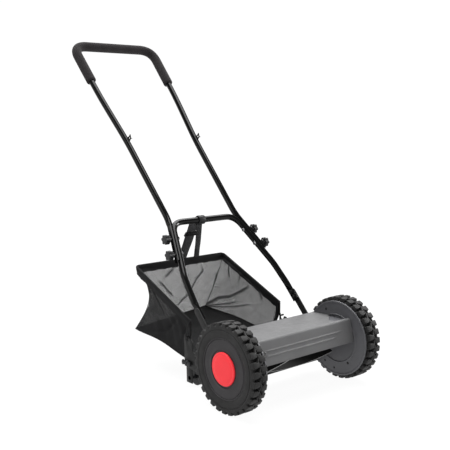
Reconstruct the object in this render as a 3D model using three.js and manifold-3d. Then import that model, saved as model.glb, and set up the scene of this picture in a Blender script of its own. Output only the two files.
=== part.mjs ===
// A push reel mower with a hanging grass bag, in millimetres.
// +X runs along the wheel axle to the operator's left, +Y back to the handle and +Z up.
// It is drawn with the axle at y = 0 over the ground; the last lines centre it over its box.
import * as THREE from 'three';
import { mergeVertices } from 'three/addons/utils/BufferGeometryUtils.js';
import Module from 'manifold-3d';

const wasm = await Module();
wasm.setup();

// ---- Driving dimensions ----
const GAP = 0.3;                        // clearance kept between neighbouring solids

const WHEEL = { radius: 101.4, carcass: 92.7, rim: 69.3, inner: 164.2, outer: 203.2, lugs: 30 };
const HUB = { bore: 8.3, radius: 17, shoulder: 166, web: 195, end: 200.6 };
const CAP = { radius: 37.4, face: 204.6, skirt: 3 };
const AXLE = { z: WHEEL.radius, shank: 8, head: 13, thread: 5 };

const PLATE = { radius: 92.2, inner: 160, thickness: 2.5, bead: 1.2, dish: 60 };
const REEL = {
  y: 43, z: 92, radius: 48, root: 30, blades: 5, half: 146, twist: -1.9, start: 0.49, shaft: 6,
};
const GEAR = { module: 2.75, ring: 42, pinion: 10, start: 166.5, width: 10 };
const BEARING = { radius: 10, start: 157.5, end: 163.6 };

const COVER = { half: 158.4, sheet: 1.5, front: [-56, 105], bend: [-44, 161], rear: [83, 151] };
const COVER_SCREW = { x: -128, z: 133.3 };
// The corner left open beside the left plate, as [x, y] seen from above.
const COVER_NOTCH = [[104, -38], [107, -30], [111, -20], [117, -12], [129, -2], [141, 10], [151, 20],
  [160, 26], [160, -38]];
// Each strap leg: [middle at the clip, middle at the bag's rim, width], across the mower.
const STRAP_LEGS = [[-27, 0, 30], [-8, 50, 18]];
const STRAP_THICKNESS = 1.6;
const KNIFE = { half: 159.5 };
const PIVOT = { y: 74, z: 110.7, radius: 4 };
const STOP = { y: 54.6, z: 108.5, radius: 3.5 };

// The handle lies in one sloping plane; s runs down it from the crossbar of the middle loop.
const CROSSBAR = { y: 318, z: 376 };
const SLOPE = THREE.MathUtils.degToRad(47.4);
const TUBE = { radius: 8, wall: 1.3 };
const LOOP = { corner: 102.5, splay: 0.275, knee: 158, end: 240, foot: 276, footX: 152.4, flat: 6,
  bolts: [250, 266] };
const UPPER = { offset: 8, top: -622, topX: 133, gripEnd: -485,
  bowS: -430, bowX: 127.5, tabS: -268, tabX: 113.6,
  bendX: 109.3, end: 112 };
const GRIP_RADIUS = 13.3;
const KNOB = { s: [46.6, 92.1], radius: 12.5, thickness: 14, lobes: 6 };
const BAR = { inner: 155.7, thickness: 2.8, width: 18, heel: 22 };

const ARM = { inner: 155.7, thickness: 2.8 };
const ROLLER = { y: 182, radius: 22, half: 138, stub: 5 };
const CARRIER = { inner: 152.2, thickness: 2.9, width: 22, top: 74 };
const WING = { y: 184, z: 60, travel: 27, shank: 3 };

const BAG = { half: 150, wall: 2.4, hookY: 187, hookZ: 122, wire: 2.5 };
const BAG_RIM = { front: [190, 158], rear: [418, 256] };
const BAG_FLOOR = { front: [201, 63], rear: [421, 91] };

const SIDES = [['right', -1], ['left', 1]];

// ---- Materials ----
const paint = (color, roughness, metalness) =>
  new THREE.MeshStandardMaterial({ color, roughness, metalness });
const LOOK = {
  grey: paint(0x646466, 0.45, 0.3),
  black: paint(0x131313, 0.3, 0.4),
  matte: paint(0x1c1c1d, 0.7, 0.1),
  tyre: paint(0x373437, 0.85, 0),
  red: paint(0xeb4b50, 0.5, 0),
  steel: paint(0x9a9a9c, 0.35, 0.9),
  foam: paint(0x333031, 0.95, 0),
  fabric: paint(0x3a3a3c, 0.9, 0),
};

// ---- Solids ----
const root = new THREE.Group();

function toManifold(geometry) {
  const bare = geometry.index ? geometry.toNonIndexed() : geometry.clone();
  bare.deleteAttribute('normal');
  bare.deleteAttribute('uv');
  const merged = mergeVertices(bare, 1e-4);
  return new wasm.Manifold(new wasm.Mesh({
    numProp: 3,
    vertProperties: new Float32Array(merged.attributes.position.array),
    triVerts: new Uint32Array(merged.index.array),
  }));
}

function toGeometry(solid) {
  const mesh = solid.getMesh();
  const geometry = new THREE.BufferGeometry();
  geometry.setAttribute('position', new THREE.BufferAttribute(new Float32Array(mesh.vertProperties), 3));
  geometry.setIndex(new THREE.BufferAttribute(new Uint32Array(mesh.triVerts), 1));
  return geometry;
}

function add(name, solid, look) {
  const mesh = new THREE.Mesh(toGeometry(solid), look);
  mesh.name = name;
  root.add(mesh);
}

function join(...parts) {
  return parts.reduce((whole, part) => whole.add(part));
}

// A solid of revolution about the X axis. Each profile point is [radius, x].
function turned(profile, { y = 0, z = AXLE.z, segments = 20 } = {}) {
  const points = profile.map(([radius, x]) => new THREE.Vector2(radius, x));
  const onAxis = profile[0][0] === 0 && profile.at(-1)[0] === 0;
  if (!onAxis) points.push(points[0].clone());
  const geometry = new THREE.LatheGeometry(points, segments);
  geometry.rotateZ(-Math.PI / 2);
  geometry.translate(0, y, z);
  return oriented(geometry);
}

// Turns an inside-out closed mesh the right way round.
function oriented(geometry) {
  const solid = toManifold(geometry);
  if (solid.volume() > 0) return solid;
  const flipped = geometry.index ? geometry.toNonIndexed() : geometry;
  const position = flipped.attributes.position;
  const a = new THREE.Vector3();
  const b = new THREE.Vector3();
  for (let i = 0; i < position.count; i += 3) {
    a.fromBufferAttribute(position, i);
    b.fromBufferAttribute(position, i + 1);
    position.setXYZ(i, b.x, b.y, b.z);
    position.setXYZ(i + 1, a.x, a.y, a.z);
  }
  return toManifold(flipped);
}

// A round bar or ring along X, from x1 to x2, with an optional bore.
function disc(radius, x1, x2, { bore = 0, ...at } = {}) {
  return turned([[bore, x1], [radius, x1], [radius, x2], [bore, x2]], at);
}

// A plate whose outline is given as [y, z] points, from x1 to x2.
function plate(outline, x1, x2, holes = []) {
  const shape = new THREE.Shape(outline.map(([y, z]) => new THREE.Vector2(y, z)));
  holes.forEach((hole) => shape.holes.push(new THREE.Path(hole.map(([y, z]) => new THREE.Vector2(y, z)))));
  const low = Math.min(x1, x2);
  const geometry = new THREE.ExtrudeGeometry(shape, { depth: Math.abs(x2 - x1), bevelEnabled: false });
  const swap = new THREE.Matrix4().set(0, 0, 1, low, 1, 0, 0, 0, 0, 1, 0, 0, 0, 0, 0, 1);
  geometry.applyMatrix4(swap);
  return oriented(geometry);
}

function circle(radius, segments, [y, z] = [0, 0]) {
  return Array.from({ length: segments }, (_, i) => {
    const angle = (2 * Math.PI * i) / segments;
    return [y + radius * Math.cos(angle), z + radius * Math.sin(angle)];
  });
}

// A slot outline, along `along`, centred between two ends.
function slot([y1, z1], [y2, z2], radius, steps = 6) {
  const heading = Math.atan2(z2 - z1, y2 - y1);
  const cap = (y, z, start) => Array.from({ length: steps + 1 }, (_, i) => {
    const angle = start + (Math.PI * i) / steps;
    return [y + radius * Math.cos(angle), z + radius * Math.sin(angle)];
  });
  return [...cap(y2, z2, heading - Math.PI / 2), ...cap(y1, z1, heading + Math.PI / 2)];
}

// A route through given stations, for sweeping a section without adding points on the straights.
class Route extends THREE.Curve {
  constructor(stations) {
    super();
    this.stations = stations;
  }

  index(u) {
    return Math.round(u * (this.stations.length - 1));
  }

  getPointAt(u) {
    return this.stations[this.index(u)].clone();
  }

  getTangentAt(u) {
    const i = this.index(u);
    const last = this.stations.length - 1;
    const before = this.stations[Math.max(i - 1, 0)];
    const here = this.stations[i];
    const after = this.stations[Math.min(i + 1, last)];
    const tangent = new THREE.Vector3();
    if (i > 0) tangent.add(here.clone().sub(before).normalize());
    if (i < last) tangent.add(after.clone().sub(here).normalize());
    return tangent.normalize();
  }
}

// Rounds the corners of a polyline: corners[i] is the fillet's tangent length at point i.
function rounded(points, corners, steps = 4) {
  const stations = [];
  points.forEach((point, i) => {
    if (!corners[i]) {
      stations.push(point);
      return;
    }
    const start = point.clone().lerp(points[i - 1], corners[i] / point.distanceTo(points[i - 1]));
    const end = point.clone().lerp(points[i + 1], corners[i] / point.distanceTo(points[i + 1]));
    const arc = new THREE.QuadraticBezierCurve3(start, point, end);
    stations.push(...arc.getPoints(steps));
  });
  return stations;
}

function ringShape(radius, bore, sides) {
  const shape = new THREE.Shape(circle(radius, sides).map(([a, b]) => new THREE.Vector2(a, b)));
  if (bore) {
    shape.holes.push(new THREE.Path(circle(bore, sides).map(([a, b]) => new THREE.Vector2(a, b))));
  }
  return shape;
}

function swept(stations, radius, bore = 0, sides = 8) {
  const geometry = new THREE.ExtrudeGeometry(ringShape(radius, bore, sides), {
    steps: stations.length - 1,
    extrudePath: new Route(stations),
    bevelEnabled: false,
  });
  return oriented(geometry);
}

// A point of the handle's plane: x across, s down the slope, lift square to it (up and forward).
function onHandle(x, s, lift = 0) {
  return new THREE.Vector3(
    x,
    CROSSBAR.y - s * Math.cos(SLOPE) - lift * Math.sin(SLOPE),
    CROSSBAR.z - s * Math.sin(SLOPE) + lift * Math.cos(SLOPE),
  );
}

const loopX = (s) => LOOP.corner + LOOP.splay * s;

// ---- Wheels ----
function toothed(teeth, pitchRadius, height, phase, inside) {
  const points = [];
  const step = (2 * Math.PI) / teeth;
  const tip = inside ? pitchRadius - height : pitchRadius + height;
  const rootRadius = inside ? pitchRadius + height + 0.5 : pitchRadius - height - 0.5;
  for (let i = 0; i < teeth; i += 1) {
    const middle = phase + i * step;
    [[-0.29, rootRadius], [-0.14, tip], [0.14, tip], [0.29, rootRadius]].forEach(([part, radius]) => {
      const angle = middle + part * step;
      points.push([radius * Math.cos(angle), radius * Math.sin(angle)]);
    });
  }
  return points;
}

const meshHeading = Math.atan2(REEL.z - AXLE.z, REEL.y);
const ringPitch = (GEAR.module * GEAR.ring) / 2;
const pinionPitch = (GEAR.module * GEAR.pinion) / 2;
const toothHeight = GEAR.module * 0.8;

function shifted(outline, y, z) {
  return outline.map(([a, b]) => [a + y, b + z]);
}

// The tyre is two rows of lugs, half a lug apart, each a toothed ring of half the width.
function lugRow(side, row) {
  const pitch = (2 * Math.PI) / WHEEL.lugs;
  const outline = [];
  for (let i = 0; i < WHEEL.lugs; i += 1) {
    const middle = (i + row / 2) * pitch;
    [[-0.29, WHEEL.carcass], [-0.27, WHEEL.radius], [0.27, WHEEL.radius], [0.29, WHEEL.carcass]]
      .forEach(([part, radius]) => {
        const angle = middle + part * pitch;
        outline.push([radius * Math.cos(angle), AXLE.z + radius * Math.sin(angle)]);
      });
  }
  const middle = (WHEEL.inner + WHEEL.outer) / 2;
  return plate(outline, side * middle, side * (row ? WHEEL.outer : WHEEL.inner),
    [circle(WHEEL.rim / Math.cos(Math.PI / 30), 30, [0, AXLE.z])]);
}

function wheel(name, side) {
  const { outer, rim } = WHEEL;
  const x = (u) => side * u;
  add(`tyre_${name}`, lugRow(side, 0).add(lugRow(side, 1)), LOOK.tyre);

  const rimOuter = rim - GAP;
  const web = turned([[HUB.bore, x(HUB.shoulder)], [HUB.radius, x(HUB.shoulder)], [HUB.radius, x(HUB.web)],
    [rimOuter, x(HUB.web)], [rimOuter, x(outer - 1)], [CAP.radius + 2, x(outer - 2)],
    [CAP.radius + 2, x(HUB.end)], [HUB.bore, x(HUB.end)]], { segments: 30 });
  const teeth = toothed(GEAR.ring, ringPitch, toothHeight, meshHeading + Math.PI / GEAR.ring, true);
  const ring = plate(circle(rimOuter, 30, [0, AXLE.z]), x(GEAR.start - 1), x(HUB.web + 1),
    [shifted(teeth, 0, AXLE.z)]);
  add(`rim_${name}`, web.add(ring), LOOK.tyre);

  const capInner = CAP.face - 1.2;
  add(`hub_cap_${name}`, turned([[0, x(capInner)], [CAP.radius - CAP.skirt, x(capInner)],
    [CAP.radius - CAP.skirt, x(HUB.end + GAP)], [CAP.radius, x(HUB.end + GAP)],
    [CAP.radius, x(CAP.face - 0.8)], [CAP.radius - 1.2, x(CAP.face)], [0, x(CAP.face)]],
  { segments: 24 }), LOOK.red);

  const shoulder = PLATE.inner + PLATE.thickness + GAP;
  add(`axle_bolt_${name}`, turned([[0, x(PLATE.inner - 5)], [AXLE.thread, x(PLATE.inner - 5)],
    [AXLE.thread, x(shoulder)], [AXLE.shank, x(shoulder)], [AXLE.shank, x(HUB.end + GAP)],
    [AXLE.head, x(HUB.end + GAP)], [AXLE.head, x(capInner - GAP)], [0, x(capInner - GAP)]]), LOOK.steel);
}

// ---- Side plates and what they carry ----
function sidePlate(name, side) {
  const x = (u) => side * u;
  const { radius, inner, thickness, bead, dish } = PLATE;
  const outerFace = inner + thickness;
  let body = turned([[0, x(inner + 1)], [dish - 2, x(inner + 1)], [dish, x(inner)], [radius - 4, x(inner)],
    [radius - 3, x(inner - bead)], [radius, x(inner - bead)], [radius, x(outerFace)], [0, x(outerFace)]],
  { segments: 32 });
  const weldNut = disc(9, x(inner - 5), x(inner + 1.5));
  const stop = disc(STOP.radius, x(BAR.inner), x(inner + 1.5), { y: STOP.y, z: STOP.z, segments: 12 });
  body = join(body, weldNut, stop);
  [disc(AXLE.thread + GAP, x(150), x(170)),
    disc(BEARING.radius + GAP, x(150), x(170), { y: REEL.y, z: REEL.z }),
    disc(PIVOT.radius + GAP, x(150), x(170), { y: PIVOT.y, z: PIVOT.z, segments: 16 }),
  ].forEach((hole) => { body = body.subtract(hole); });
  add(`side_plate_${name}`, body, LOOK.grey);

  add(`reel_bearing_${name}`, disc(BEARING.radius, x(BEARING.start), x(BEARING.end),
    { bore: REEL.shaft + GAP, y: REEL.y, z: REEL.z, segments: 24 }), LOOK.steel);

  // A shoulder bolt on which the handle's lower bar swings.
  const head = BAR.inner - GAP;
  const at = { y: PIVOT.y, z: PIVOT.z, segments: 20 };
  add(`handle_pivot_bolt_${name}`, turned([[0, x(head - 4)], [8, x(head - 4)], [8, x(head)],
    [PIVOT.radius, x(head)], [PIVOT.radius, x(outerFace + 0.8)], [0, x(outerFace + 0.8)]], at), LOOK.steel);
}

function coverOutline(shift) {
  const [front, bend, rear] = [COVER.front, COVER.bend, COVER.rear];
  return [[front[0] + shift, front[1]], [bend[0] + shift, bend[1] - shift * 1.1], [rear[0], rear[1] - shift]];
}

function cover() {
  const outline = [...coverOutline(0), ...coverOutline(COVER.sheet).reverse()];
  const notch = new THREE.ExtrudeGeometry(
    new THREE.Shape(COVER_NOTCH.map(([x, y]) => new THREE.Vector2(x, y))),
    { depth: 16, bevelEnabled: false },
  );
  notch.translate(0, 0, COVER.rear[1] - 1);
  add('reel_cover', plate(outline, -COVER.half, COVER.half).subtract(oriented(notch)), LOOK.grey);
  const frontTilt = Math.atan2(COVER.bend[0] - COVER.front[0], COVER.bend[1] - COVER.front[1]);
  const head = new THREE.LatheGeometry([[0, 0], [4.2, 0], [3.4, 1.8], [0, 2.4]]
    .map(([r, h]) => new THREE.Vector2(r, h)), 16);
  head.rotateX(Math.PI - frontTilt);
  head.translate(COVER_SCREW.x, (COVER.front[0] + COVER.bend[0]) / 2 - GAP, COVER_SCREW.z);
  add('cover_screw', oriented(head), LOOK.steel);
}

function bedKnife() {
  const bar = [[57, 38], [76.4, 34], [76.4, 56], [82.4, 56], [82.4, 27.3], [57, 31.5]];
  add('knife_bar', plate(bar, -KNIFE.half + 1.5, KNIFE.half - 1.5), LOOK.black);
  const edge = [[51.5, 43.2], [76, 38.2], [76, 34.6], [52, 39.6]];
  add('bed_knife', plate(edge, -REEL.half - 4, REEL.half + 4), LOOK.steel);
}

// ---- Reel ----
function reelBlade(index) {
  const steps = 12;
  const ring = [[REEL.root, -1.2], [REEL.radius, -1.2], [REEL.radius, 1.2], [REEL.root, 1.2]];
  const shape = new THREE.Shape(ring.map(([r, w]) => new THREE.Vector2(r, w)));
  const geometry = new THREE.ExtrudeGeometry(shape, { depth: 2 * REEL.half, steps, bevelEnabled: false });
  const position = geometry.attributes.position;
  for (let i = 0; i < position.count; i += 1) {
    const along = position.getZ(i) / (2 * REEL.half);
    const angle = (2 * Math.PI * index) / REEL.blades + REEL.start + REEL.twist * along;
    const r = position.getX(i);
    const w = position.getY(i);
    position.setXYZ(i, position.getZ(i) - REEL.half,
      REEL.y + r * Math.cos(angle) - w * Math.sin(angle), REEL.z + r * Math.sin(angle) + w * Math.cos(angle));
  }
  return oriented(geometry);
}

function spider(x) {
  const outline = [];
  const turn = REEL.start + REEL.twist * ((x + REEL.half) / (2 * REEL.half));
  for (let i = 0; i < REEL.blades; i += 1) {
    const angle = (2 * Math.PI * i) / REEL.blades + turn;
    [[-0.6, 13], [-0.16, REEL.root - GAP - 0.3], [0.16, REEL.root - GAP - 0.3], [0.6, 13]]
      .forEach(([offset, radius]) => {
        const heading = angle + offset;
        outline.push([REEL.y + radius * Math.cos(heading), REEL.z + radius * Math.sin(heading)]);
      });
  }
  return plate(outline, x - 1.5, x + 1.5, [circle(REEL.shaft + GAP, 20, [REEL.y, REEL.z])]);
}

function reel() {
  const at = { y: REEL.y, z: REEL.z, segments: 20 };
  add('reel_shaft', disc(REEL.shaft, -180, 180, at), LOOK.steel);
  for (let i = 0; i < REEL.blades; i += 1) add(`reel_blade_${i + 1}`, reelBlade(i), LOOK.black);
  [['right', -REEL.half + 4], ['middle', 0], ['left', REEL.half - 4]].forEach(([name, x]) => {
    add(`reel_spider_${name}`, spider(x), LOOK.black);
  });
  SIDES.forEach(([name, side]) => {
    const teeth = toothed(GEAR.pinion, pinionPitch, toothHeight, meshHeading, false);
    add(`pinion_${name}`, plate(shifted(teeth, REEL.y, REEL.z), side * GEAR.start,
      side * (GEAR.start + GEAR.width), [circle(REEL.shaft + GAP, 20, [REEL.y, REEL.z])]), LOOK.steel);
  });
}

// ---- Rear arms, roller and its height setting ----
function rearEnd(name, side) {
  const x = (u) => side * u;
  const arm = [[70, 76], [84, 84], [96, 80], [150, 72], [165, 76], [165, 112], [172, 120], [180, 120],
    [182.5, 112], [191, 112], [193, 126], [197, 126], [197, 50], [175, 50], [150, 54], [90, 58], [72, 60]];
  let armBody = plate(arm, x(ARM.inner), x(ARM.inner + ARM.thickness));
  armBody = armBody.subtract(disc(WING.shank + GAP, x(150), x(165), { y: WING.y, z: WING.z, segments: 16 }));
  add(`rear_arm_${name}`, armBody, LOOK.black);

  const half = CARRIER.width / 2;
  const carrier = [[ROLLER.y - half, 10], [ROLLER.y + half, 10], [WING.y + half, CARRIER.top],
    [WING.y - half, CARRIER.top]];
  const slotHole = slot([WING.y, WING.z - WING.travel], [WING.y, WING.z], WING.shank + 0.6);
  const stubHole = circle(ROLLER.stub + GAP, 20, [ROLLER.y, ROLLER.radius]);
  let carrierBody = plate(carrier, x(CARRIER.inner), x(CARRIER.inner + CARRIER.thickness), [slotHole]);
  carrierBody = carrierBody.subtract(plate(stubHole, x(150), x(160)));
  add(`roller_carrier_${name}`, carrierBody, LOOK.black);

  const at = { y: WING.y, z: WING.z, segments: 16 };
  const seat = ARM.inner + ARM.thickness + GAP;
  const screw = turned([[0, x(149)], [WING.shank, x(149)], [WING.shank, x(seat)], [7, x(seat)],
    [6, x(seat + 5)], [0, x(seat + 5)]], at);
  const wings = plate([[WING.y - 17, WING.z + 3], [WING.y - 15, WING.z + 9], [WING.y, WING.z + 2.5],
    [WING.y + 15, WING.z + 3], [WING.y + 17, WING.z - 3], [WING.y + 15, WING.z - 9],
    [WING.y, WING.z - 2.5], [WING.y - 15, WING.z - 3]], x(seat + 1), x(seat + 10));
  add(`wing_screw_${name}`, screw.add(wings), LOOK.black);
}

function roller() {
  const { half, radius, stub } = ROLLER;
  const end = CARRIER.inner + CARRIER.thickness;
  add('roller', turned([[0, -end], [stub, -end], [stub, -half], [radius - 2, -half], [radius, -half + 2],
    [radius, half - 2], [radius - 2, half], [stub, half], [stub, end], [0, end]],
  { y: ROLLER.y, z: radius, segments: 24 }), LOOK.matte);
}

// ---- Handle ----
function loopStations() {
  const right = [onHandle(-LOOP.footX, LOOP.end), onHandle(-loopX(LOOP.knee), LOOP.knee),
    onHandle(-LOOP.corner, 0), onHandle(LOOP.corner, 0), onHandle(loopX(LOOP.knee), LOOP.knee),
    onHandle(LOOP.footX, LOOP.end)];
  return rounded(right, [0, 14, 30, 30, 14, 0]);
}

function upperStations() {
  const points = [];
  const corners = [];
  const leg = [[loopX(UPPER.end) + UPPER.offset, UPPER.end, 0], [UPPER.bendX, -8, 22],
    [UPPER.tabX, UPPER.tabS, 40], [UPPER.bowX, UPPER.bowS, 50], [UPPER.topX, UPPER.top, 44]];
  leg.forEach(([x, s, corner]) => {
    points.push(onHandle(-x, s));
    corners.push(corner);
  });
  leg.reverse().forEach(([x, s, corner]) => {
    points.push(onHandle(x, s));
    corners.push(corner);
  });
  return rounded(points, corners);
}

function gripStations() {
  const part = (UPPER.gripEnd - UPPER.bowS) / (UPPER.top - UPPER.bowS);
  const end = [UPPER.bowX + part * (UPPER.topX - UPPER.bowX), UPPER.gripEnd];
  const leg = [UPPER.topX, UPPER.top];
  const points = [onHandle(-end[0], end[1]), onHandle(-leg[0], leg[1]), onHandle(leg[0], leg[1]),
    onHandle(end[0], end[1])];
  return rounded(points, [0, 44, 44, 0]);
}

const boltAt = (s) => ({ y: onHandle(0, s).y, z: onHandle(0, s).z, segments: 12 });

function handle() {
  const loopPath = loopStations();
  let loop = swept(loopPath, TUBE.radius, TUBE.radius - TUBE.wall);
  let upper = swept(upperStations(), TUBE.radius, TUBE.radius - TUBE.wall);
  upper = upper.subtract(swept(loopPath, TUBE.radius + GAP));

  SIDES.forEach(([name, side]) => {
    const foot = new THREE.BoxGeometry(LOOP.flat, LOOP.foot - LOOP.end + 6, 18);
    foot.rotateX(SLOPE);
    const middle = onHandle(side * LOOP.footX, (LOOP.foot + LOOP.end) / 2 - 3);
    foot.translate(middle.x, middle.y, middle.z);
    loop = loop.add(toManifold(foot));

    KNOB.s.forEach((s, i) => {
      const place = `${i ? 'lower' : 'upper'}_${name}`;
      const inside = loopX(s) - TUBE.radius / Math.cos(Math.atan(LOOP.splay)) - 2;
      const outside = loopX(s) + UPPER.offset + TUBE.radius / Math.cos(Math.atan(LOOP.splay)) + 4;
      const hole = disc(3.3, side * (inside - 6), side * (outside + 6), boltAt(s));
      loop = loop.subtract(hole);
      upper = upper.subtract(hole);
      add(`knob_bolt_${place}`, turned([[0, side * (inside - 2.6)], [4, side * (inside - 2.6)],
        [6, side * inside], [3, side * inside], [3, side * (outside + 9)], [0, side * (outside + 9)]],
      boltAt(s)), LOOK.steel);
      const { y, z } = boltAt(s);
      const lobes = Array.from({ length: KNOB.lobes * 4 }, (_, n) => {
        const angle = (Math.PI * n) / (KNOB.lobes * 2);
        const radius = KNOB.radius - 1.1 * (1 - Math.cos(KNOB.lobes * angle));
        return [y + radius * Math.cos(angle), z + radius * Math.sin(angle)];
      });
      const knob = plate(lobes, side * outside, side * (outside + KNOB.thickness));
      const socket = disc(3.3, side * (outside - 1), side * (outside + 10), boltAt(s));
      add(`star_knob_${place}`, knob.subtract(socket), LOOK.matte);
    });

    // The lower bar swings on the side plate; its heel rests on the plate's stop.
    const pivotS = (CROSSBAR.y - PIVOT.y) / Math.cos(SLOPE);
    const ends = [onHandle(0, LOOP.end + 2 + BAR.width / 2), onHandle(0, pivotS + BAR.heel - BAR.width / 2)];
    const x = (u) => side * u;
    let bar = plate(slot([ends[0].y, ends[0].z], [ends[1].y, ends[1].z], BAR.width / 2),
      x(BAR.inner), x(BAR.inner + BAR.thickness));
    bar = bar.subtract(disc(PIVOT.radius + GAP, x(150), x(162), { y: PIVOT.y, z: PIVOT.z, segments: 16 }));
    [['upper', LOOP.bolts[0]], ['lower', LOOP.bolts[1]]].forEach(([level, s]) => {
      const hole = disc(3.3, x(140), x(165), boltAt(s));
      bar = bar.subtract(hole);
      loop = loop.subtract(hole);
      const seat = LOOP.footX - LOOP.flat / 2 - GAP;
      add(`bar_bolt_${level}_${name}`, turned([[0, x(seat - 3)], [5.5, x(seat - 3)], [5.5, x(seat)],
        [3, x(seat)], [3, x(BAR.inner + BAR.thickness + 0.2)], [0, x(BAR.inner + BAR.thickness + 0.2)]],
      boltAt(s)), LOOK.steel);
    });
    add(`lower_bar_${name}`, bar, LOOK.matte);

    // A small hooking plate stands on each leg, on its upper side.
    const tabX = UPPER.tabX + 0.2;
    const tab = new THREE.BoxGeometry(3, 15, 13);
    tab.rotateX(SLOPE);
    const spot = onHandle(side * tabX, UPPER.tabS, TUBE.radius + 6.6 + GAP);
    tab.translate(spot.x, spot.y, spot.z);
    const tabHole = disc(2.6, side * (tabX - 4), side * (tabX + 4),
      { y: onHandle(0, UPPER.tabS, TUBE.radius + 8).y, z: onHandle(0, UPPER.tabS, TUBE.radius + 8).z,
        segments: 12 });
    add(`hook_tab_${name}`, toManifold(tab).subtract(tabHole), LOOK.black);
  });
  add('middle_loop', loop, LOOK.black);
  add('upper_handle', upper, LOOK.black);
  add('foam_grip', swept(gripStations(), GRIP_RADIUS, TUBE.radius + 2 * GAP, 10), LOOK.foam);
  add('strap_clip', disc(12, -24, 0, { bore: TUBE.radius + GAP, y: CROSSBAR.y, z: CROSSBAR.z,
    segments: 20 }), LOOK.matte);
}

// ---- Grass bag ----
function bag() {
  const lower = 6;
  const outer = [[BAG_RIM.front[0] + 4, BAG_RIM.front[1] - lower],
    [BAG_RIM.rear[0] + 3, BAG_RIM.rear[1] - lower], BAG_FLOOR.rear, BAG_FLOOR.front];
  const inner = [[BAG_RIM.front[0] - 30, BAG_RIM.front[1] + 60], [BAG_RIM.rear[0] + 3 - BAG.wall,
    BAG_RIM.rear[1] + 60], [BAG_FLOOR.rear[0] - BAG.wall, BAG_FLOOR.rear[1] + BAG.wall],
  [BAG_FLOOR.front[0] - 20, BAG_FLOOR.front[1] + BAG.wall - 2.5]];
  const shell = plate(outer, -BAG.half, BAG.half)
    .subtract(plate(inner, -BAG.half + BAG.wall, BAG.half - BAG.wall));
  add('bag_shell', shell, LOOK.fabric);

  const wireX = BAG.half - 3;
  const point = (x, [y, z]) => new THREE.Vector3(x, y, z);
  const hook = [BAG.hookY, BAG.hookZ];
  const corner = [BAG_RIM.front[0] - 3, BAG_RIM.front[1]];
  const path = [point(-wireX - 14, hook), point(-wireX, hook), point(-wireX, corner),
    point(-wireX, BAG_RIM.rear), point(wireX, BAG_RIM.rear), point(wireX, corner), point(wireX, hook),
    point(wireX + 14, hook)];
  add('bag_frame', swept(rounded(path, [0, 5, 8, 12, 12, 8, 5, 0], 3), BAG.wire, 0, 6), LOOK.black);

  // Two webbing legs hang from the clip on the crossbar to the back of the bag's frame.
  const top = [CROSSBAR.y + 9.6, CROSSBAR.z - 9.6];
  const bottom = [BAG_RIM.rear[0] - 2.6, BAG_RIM.rear[1] + 3.4];
  const legs = STRAP_LEGS.map(([from, to, width]) => {
    const outline = [[from - width / 2, 0], [from + width / 2, 0], [to + width / 2, 1], [to - width / 2, 1]];
    const shape = new THREE.Shape(outline.map(([across, along]) => new THREE.Vector2(across, along)));
    const geometry = new THREE.ExtrudeGeometry(shape, { depth: STRAP_THICKNESS, bevelEnabled: false });
    const position = geometry.attributes.position;
    const run = new THREE.Vector2(bottom[0] - top[0], bottom[1] - top[1]);
    const normal = new THREE.Vector2(-run.y, run.x).normalize();
    for (let i = 0; i < position.count; i += 1) {
      const along = position.getY(i);
      const lift = position.getZ(i) - STRAP_THICKNESS / 2;
      position.setXYZ(i, position.getX(i), top[0] + run.x * along + normal.x * lift,
        top[1] + run.y * along + normal.y * lift);
    }
    return oriented(geometry);
  });
  add('bag_strap', legs[0].add(legs[1]), LOOK.fabric);
}

SIDES.forEach(([name, side]) => {
  wheel(name, side);
  sidePlate(name, side);
  rearEnd(name, side);
});
cover();
bedKnife();
reel();
roller();
handle();
bag();

// The origin is moved to the middle of the underside of the whole box.
const rearmost = onHandle(0, UPPER.top).y + GRIP_RADIUS;
root.position.y = -(rearmost - WHEEL.radius) / 2;

export default root;
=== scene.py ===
"""A push reel mower with a hanging grass bag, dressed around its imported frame.

Sizes are in millimetres, measured from the wheel axle's middle over the ground, and at() turns
them into the frame's metres. +X is the operator's left, +Y goes back to the handle and +Z is up.
"""
import math

import bmesh
import bpy
import numpy as np
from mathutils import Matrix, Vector


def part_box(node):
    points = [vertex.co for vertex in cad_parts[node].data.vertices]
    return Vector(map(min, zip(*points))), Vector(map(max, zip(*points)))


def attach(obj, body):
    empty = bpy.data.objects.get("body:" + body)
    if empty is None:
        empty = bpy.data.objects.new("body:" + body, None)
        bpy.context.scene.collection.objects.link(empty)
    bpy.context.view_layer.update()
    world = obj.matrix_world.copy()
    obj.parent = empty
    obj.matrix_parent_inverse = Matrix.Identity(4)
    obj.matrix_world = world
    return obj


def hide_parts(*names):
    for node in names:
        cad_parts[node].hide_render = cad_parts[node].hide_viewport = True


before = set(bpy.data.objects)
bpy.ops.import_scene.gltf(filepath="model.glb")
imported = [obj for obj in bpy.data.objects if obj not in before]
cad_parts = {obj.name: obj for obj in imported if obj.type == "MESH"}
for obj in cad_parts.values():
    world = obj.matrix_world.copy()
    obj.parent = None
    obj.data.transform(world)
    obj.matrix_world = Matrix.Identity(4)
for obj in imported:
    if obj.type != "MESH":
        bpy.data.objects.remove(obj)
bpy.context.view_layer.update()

# ---- Sizes, from the frame where it has them ----
SIDES = (("right", -1), ("left", 1))


def node_box(node):
    low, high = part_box(node)
    return np.array(low) * 1000, np.array(high) * 1000


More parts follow.
